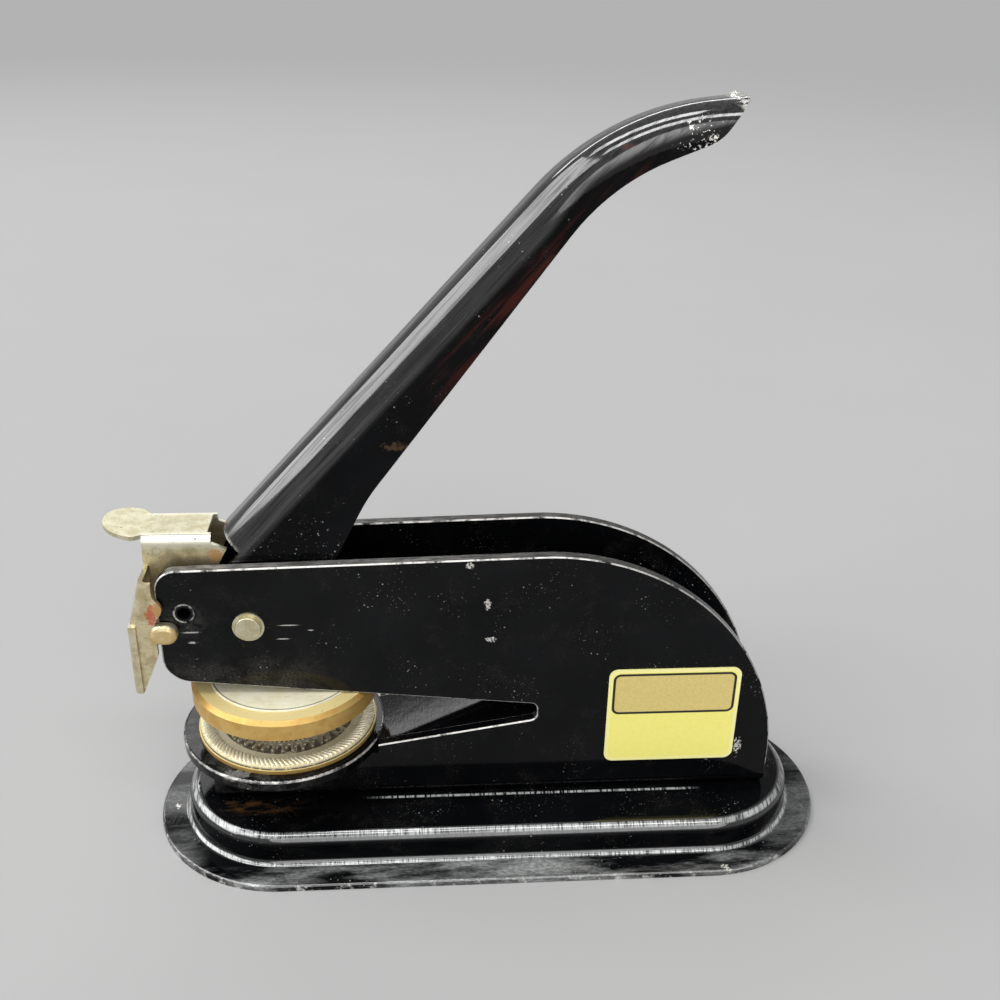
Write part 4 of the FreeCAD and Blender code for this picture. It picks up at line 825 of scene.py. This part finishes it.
def raised_marks(name, sizes, middle, radius, height):
    """A ring of plain bars: long ones by turns with short ones and a dot."""
    made = []
    for place, (length, width, inward) in enumerate(BARS):
        bpy.ops.mesh.primitive_cube_add(
            size=1, location=(middle.x + radius - inward * MM, middle.y, height),
            scale=(length * MM, width * MM, 2 * sizes.relief))
        bar = settle(named(f"mark_{place}"))
        apply_modifier(bar, "BEVEL", width=0.16 * MM, segments=2)
        bar.data.transform(upright_turn(middle, place / (len(BARS) * sizes.marks)))
        made += copies_round(bar, sizes.marks, middle)
    ring = join(made, name)
    add_material(ring, bare_steel(name, (1.0, 0.97, 0.88), 0.35, grime=0.5))
    smooth(ring)
    return ring


# ---------------------------------------------------------------- operators
class EMBOSSER_OT_enamel(bpy.types.Operator):
    """Give the enamelled parts their worn black finish"""

    bl_idname = "embosser.enamel"
    bl_label = "Enamel"

    def execute(self, context):
        plate_chips = [((-3.9, NEAR_PLATE, 67.8), (1.0, 2.0, 0.7)),
                       ((0.0, NEAR_PLATE, 58.4), (0.7, 2.0, 1.3)),
                       ((0.8, NEAR_PLATE, 49.9), (1.2, 2.0, 0.6)),
                       ((57.2, NEAR_PLATE, 20.2), (0.9, 2.0, 2.0))]
        base_chips = [((-65.0, -23.0, 1.4), (1.6, 1.0, 2.0)), ((-70.5, -3.0, 1.4), (0.7, 1.2, 2.0)),
                      ((52.0, -28.6, 1.2), (1.2, 0.8, 1.0))]
        lever_chips = [((39.0, -7.5, 152.4), (1.0, 3.0, 0.6))]
        rivet_chips = [((-53.0, 0.0, 12.8), (1.0, 1.0, 1.0))]
        dress(enamel("frame", plate_chips, worn_plates_and_sheen, plate_dust), "frame")
        dress(enamel("base", base_chips, worn_flange, base_marks_and_highlights, polished_base), "base")
        dress(enamel("anvil_table", [], worn_pan, pan_dust, polished_pan), "anvil_table")
        dress(enamel("lever", lever_chips, worn_lever, lever_painted_sheen_and_smudge, polished_lever, LEVER_TURN, ALONG_LEVER),
              "lever")
        dress(enamel("guide", [], worn_rivet), "guide_rivet")
        dress(enamel("rivets", rivet_chips, polish=polished_pan), "foot_rivets")
        return {"FINISHED"}


class EMBOSSER_OT_tip_bead(bpy.types.Operator):
    """Crumpled bead of bare metal that closes the tip of the grip"""

    bl_idname = "embosser.tip_bead"
    bl_label = "Tip bead"

    def execute(self, context):
        _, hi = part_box("lever")
        bpy.ops.mesh.primitive_ico_sphere_add(subdivisions=4, radius=1.0,
                                              location=(hi.x - 1.3 * MM, 0, hi.z - 0.6 * MM),
                                              scale=(2.0 * MM, 2.7 * MM, 0.8 * MM),
                                              rotation=(0, math.radians(14), 0))
        bead = settle(named("grip_tip_bead"))
        crumple = bpy.data.textures.new("crumple", type="CLOUDS")
        crumple.noise_scale = 1.1 * MM
        apply_modifier(bead, "DISPLACE", texture=crumple, strength=1.2 * MM)
        add_material(bead, bare_steel("tip", (0.90, 0.92, 0.96), 0.30, grime=0.5, metal=0.8))
        bpy.ops.object.shade_smooth()
        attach(bead, "handle")
        return {"FINISHED"}


class EMBOSSER_OT_metals(bpy.types.Operator):
    """Give the plated, brass and bare steel parts their finish"""

    bl_idname = "embosser.metals"
    bl_label = "Metals"

    def execute(self, context):
        slide_stains = [((-55.8, -5.8, 68.5), (1.6, 2.0, 1.4), AMBER),
                        ((-60.0, -5.8, 65.0), (2.6, 2.0, 0.5), RED)]
        plate_stains = [((-68.9, -11.5, 58.0), (1.2, 2.0, 2.4), RED),
                        ((-67.0, -11.8, 59.6), (1.4, 2.0, 2.2), AMBER),
                        ((-66.6, -12.6, 52.9), (4.2, 1.4, 2.6), BRONZE)]
        dress(nickel("catch_slide", slide_stains, fold_painted_highlight, 0.7, lip_painted_highlight), "catch_slide")
        dress(nickel("catch_plate", plate_stains, hem_painted_light_and_shade, 0.62), "catch_plate")
        dress(nickel("pins", shade=0.1), "pivot_pin", "catch_rivets")
        dress(brass(), "die_ring", "counter_ring", "pivot_bush")
        lo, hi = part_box("die_holder")
        middle, half = box_mm(lo, hi)
        dress(bare_steel("holder", (1.40, 1.38, 1.16), 0.46, grime=0.1, metal=0.15, centre=middle,
                         groove=half[0] - 0.5), "die_holder")
        dress(bare_steel("inside", (0.62, 0.62, 0.64), 0.34), "plunger", "plunger_guide", "cam",
              "cam_rivet", "counter_screw", "alignment_pin")
        return {"FINISHED"}


class EMBOSSER_OT_label(bpy.types.Operator):
    """Give the blank label its foil"""

    bl_idname = "embosser.label"
    bl_label = "Label"

    def execute(self, context):
        dress(label_foil(), "label")
        return {"FINISHED"}


class EMBOSSER_OT_counter_die(bpy.types.Operator):
    """Counter die with a rope border, a ring of beads and a ring of plain raised bars"""

    bl_idname = "embosser.counter_die"
    bl_label = "Counter die"

    def execute(self, context):
        sizes = context.scene.embosser_die
        lo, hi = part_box("counter_die")
        middle, radius = round_seat(lo, hi)
        face = hi.z - lo.z - COUNTER_RELIEF
        disc = turned_disc("counter_die_face", middle, radius, face, COUNTER_STEPS)
        top = middle.z + face
        rope = rope_border(sizes, middle, radius - ROPE_INSET, top + 0.15 * MM)
        beads = bead_ring(sizes, middle, radius - BEADS_INSET, top - 0.3 * MM)
        die = join([disc, *rope, *beads], "counter_die_face")
        add_material(die, bare_steel("counter", (1.40, 1.35, 1.14), 0.40, grime=0.22, metal=0.55,
                                     ground=[(top - depth * MM) / MM for depth in GROUND_DEPTHS]))
        smooth(die)
        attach(die, "stand")
        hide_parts("counter_die")
        marks = raised_marks("counter_die_marks", sizes, middle, radius - BARS_INSET, top - 0.1 * MM)
        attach(marks, "stand")
        return {"FINISHED"}


class EMBOSSER_OT_upper_die(bpy.types.Operator):
    """Upper die, engraved where the counter die is raised"""

    bl_idname = "embosser.upper_die"
    bl_label = "Upper die"

    def execute(self, context):
        sizes = context.scene.embosser_die
        lo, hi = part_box("upper_die")
        middle, radius = round_seat(lo, hi)
        die = turned_disc("upper_die_face", middle, radius, hi.z - lo.z, UPPER_STEPS, up=False)
        add_material(die, bare_steel("upper", (1.0, 0.97, 0.9), 0.28, grime=0.3))
        smooth(die)
        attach(die, "ram")
        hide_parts("upper_die")
        marks = raised_marks("upper_die_marks", sizes, middle, radius - BARS_INSET, middle.z + 0.55 * MM)
        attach(marks, "ram")
        return {"FINISHED"}


class EMBOSSER_OT_spring(bpy.types.Operator):
    """Coiled wire return spring; on the press it closes up as the ram goes down"""

    bl_idname = "embosser.spring"
    bl_label = "Return spring"

    def execute(self, context):
        lo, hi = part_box("return_spring")
        middle = ((lo.x + hi.x) / 2, (lo.y + hi.y) / 2)
        radius = (hi.x - lo.x) / 2 - SPRING_WIRE
        bpy.ops.mesh.primitive_circle_add(vertices=10, radius=SPRING_WIRE,
                                          location=(middle[0] + radius, middle[1], lo.z + SPRING_WIRE),
                                          rotation=(math.radians(90), 0, 0))
        coil = settle(named("return_spring_coil"))
        # the screw turns about the object's origin, so the wire's ring is moved there and back
        coil.data.transform(Matrix.Translation((-middle[0], -middle[1], 0)))
        apply_modifier(coil, "SCREW", iterations=SPRING_TURNS, steps=40, render_steps=40,
                       screw_offset=(hi.z - lo.z - 2 * SPRING_WIRE) / SPRING_TURNS, use_merge_vertices=True)
        coil.data.transform(Matrix.Translation((middle[0], middle[1], 0)))
        bpy.ops.object.mode_set(mode="EDIT")
        bpy.ops.mesh.select_all(action="SELECT")
        bpy.ops.mesh.remove_doubles(threshold=1e-6)
        bpy.ops.mesh.select_all(action="DESELECT")
        bpy.ops.mesh.select_mode(type="EDGE")
        bpy.ops.mesh.select_non_manifold()
        bpy.ops.mesh.edge_face_add()
        bpy.ops.mesh.select_all(action="SELECT")
        bpy.ops.mesh.normals_make_consistent(inside=False)
        bpy.ops.object.mode_set(mode="OBJECT")
        add_material(coil, bare_steel("spring", (0.8, 0.8, 0.82), 0.3))
        smooth(coil, 40)
        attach(coil, "stand")
        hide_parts("return_spring")
        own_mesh(coil)
        return {"FINISHED"}


class EMBOSSER_OT_stage(bpy.types.Operator):
    """Pale floor, soft studio lamps and the camera"""

    bl_idname = "embosser.stage"
    bl_label = "Stage"

    def execute(self, context):
        look = context.scene.embosser_stage
        bpy.ops.mesh.primitive_plane_add(size=FLOOR_SIZE, location=(0, 0, 0))
        floor = named("floor")
        add_material(floor, self.floor_paint(look))
        self.sun("fill_sun", *FILL_SUN, look.sun)
        for name, (place, size, share) in SOFTBOXES.items():
            self.softbox(name, place, size, look.softbox * share)
        self.surroundings(context, look)
        context.scene.view_settings.view_transform = "Standard"
        self.camera(context)
        return {"FINISHED"}

    @staticmethod
    def floor_paint(look):
        """Pale paint that fades far out into the backdrop's brightness."""
        finish = Finish("floor_paint", **{"Specular IOR Level": 0.0, "Emission Strength": 1.0})
        colour = tuple(look.floor)
        tone = finish.mix(finish.noise(90.0, 4.0), colour, tuple(c * 0.96 for c in colour))
        x, y, _ = finish.axes()
        away = distance(x, y).step(*FLOOR_FADE)
        glow = finish.mix(away * finish.seen(), BLACK, (look.backdrop,) * 3)
        return finish.set(colour=finish.mix(away, tone, BLACK), roughness=0.7, glow=glow)

    @staticmethod
    def sun(name, direction, angle, power):
        """A soft sun that shines from a direction, as wide as an angle in degrees."""
        bpy.ops.object.light_add(type="SUN")
        lamp = named(name)
        lamp.data.angle = math.radians(angle)
        lamp.data.energy = power
        lamp.rotation_euler = Vector(direction).to_track_quat("Z", "Y").to_euler()

    @staticmethod
    def softbox(name, place, size, radiance):
        """A rectangular lamp that faces the object."""
        bpy.ops.object.light_add(type="AREA", location=place)
        lamp = named(name)
        lamp.data.shape = "RECTANGLE"
        lamp.data.size, lamp.data.size_y = size
        lamp.data.energy = radiance * math.pi * size[0] * size[1]
        aim = Vector(LAMP_AIM) - Vector(place)
        lamp.rotation_euler = aim.to_track_quat("-Z", "Y").to_euler()

    @staticmethod
    def surroundings(context, look):
        """A plain white world, dimmer in its light than as it is seen."""
        world = bpy.data.worlds.new("studio")
        context.scene.world = world
        world.use_nodes = True
        background = world.node_tree.nodes["Background"].inputs
        nodes = Nodes(world.node_tree)
        level = nodes.node("ShaderNodeMapRange", None,
                           {"Value": nodes.seen(), "To Min": look.ambient, "To Max": look.backdrop})
        nodes.feed(background["Strength"], level.outputs[0])
        nodes.feed(background["Color"], (1, 1, 1, 1))

    @staticmethod
    def camera(context):
        """The camera, turned by its yaw, then its pitch and then its roll."""
        yaw, pitch, roll = (math.radians(angle) for angle in CAMERA_TURN)
        ahead = Vector((math.sin(yaw) * math.cos(pitch), math.cos(yaw) * math.cos(pitch),
                        -math.sin(pitch)))
        right = Vector((math.cos(yaw), -math.sin(yaw), 0))
        up = right.cross(ahead)
        level, lean = math.cos(roll), math.sin(roll)
        right, up = right * level + up * lean, up * level - right * lean
        bpy.ops.object.camera_add()
        camera = named("camera")
        camera.matrix_world = Matrix.Translation(CAMERA_PLACE) @ Matrix(
            (right, up, -ahead)).transposed().to_4x4()
        camera.data.sensor_width = SENSOR
        camera.data.lens = SENSOR * FOCAL_RATIO
        camera.data.clip_start = 0.01
        context.scene.camera = camera


class EMBOSSER_PT_panel(bpy.types.Panel):
    """The embosser's pieces and settings"""

    bl_label = "Seal embosser"
    bl_idname = "EMBOSSER_PT_panel"
    bl_space_type = "VIEW_3D"
    bl_region_type = "UI"
    bl_category = "Embosser"

    def draw(self, context):
        for operator in OPERATORS:
            self.layout.operator(operator.bl_idname)
        for group in SETTINGS:
            settings = getattr(context.scene, group)
            for name in settings.__annotations__:
                self.layout.prop(settings, name)


SETTINGS = {"embosser_enamel": EnamelSettings, "embosser_metal": MetalSettings,
            "embosser_die": DieSettings, "embosser_stage": StageSettings}
OPERATORS = (EMBOSSER_OT_enamel, EMBOSSER_OT_tip_bead, EMBOSSER_OT_metals, EMBOSSER_OT_label,
             EMBOSSER_OT_counter_die, EMBOSSER_OT_upper_die, EMBOSSER_OT_spring, EMBOSSER_OT_stage)


def register():
    for name, group in SETTINGS.items():
        bpy.utils.register_class(group)
        setattr(bpy.types.Scene, name, PointerProperty(type=group))
    for kind in (*OPERATORS, EMBOSSER_PT_panel):
        bpy.utils.register_class(kind)


def unregister():
    for kind in reversed((*OPERATORS, EMBOSSER_PT_panel)):
        bpy.utils.unregister_class(kind)
    for name, group in SETTINGS.items():
        delattr(bpy.types.Scene, name)
        bpy.utils.unregister_class(group)


def main():
    """Build everything in order."""
    register()
    for name in ("enamel", "tip_bead", "metals", "label", "counter_die", "upper_die", "spring", "stage"):
        deselect()
        getattr(bpy.ops.embosser, name)()


if __name__ == "__main__":
    main()
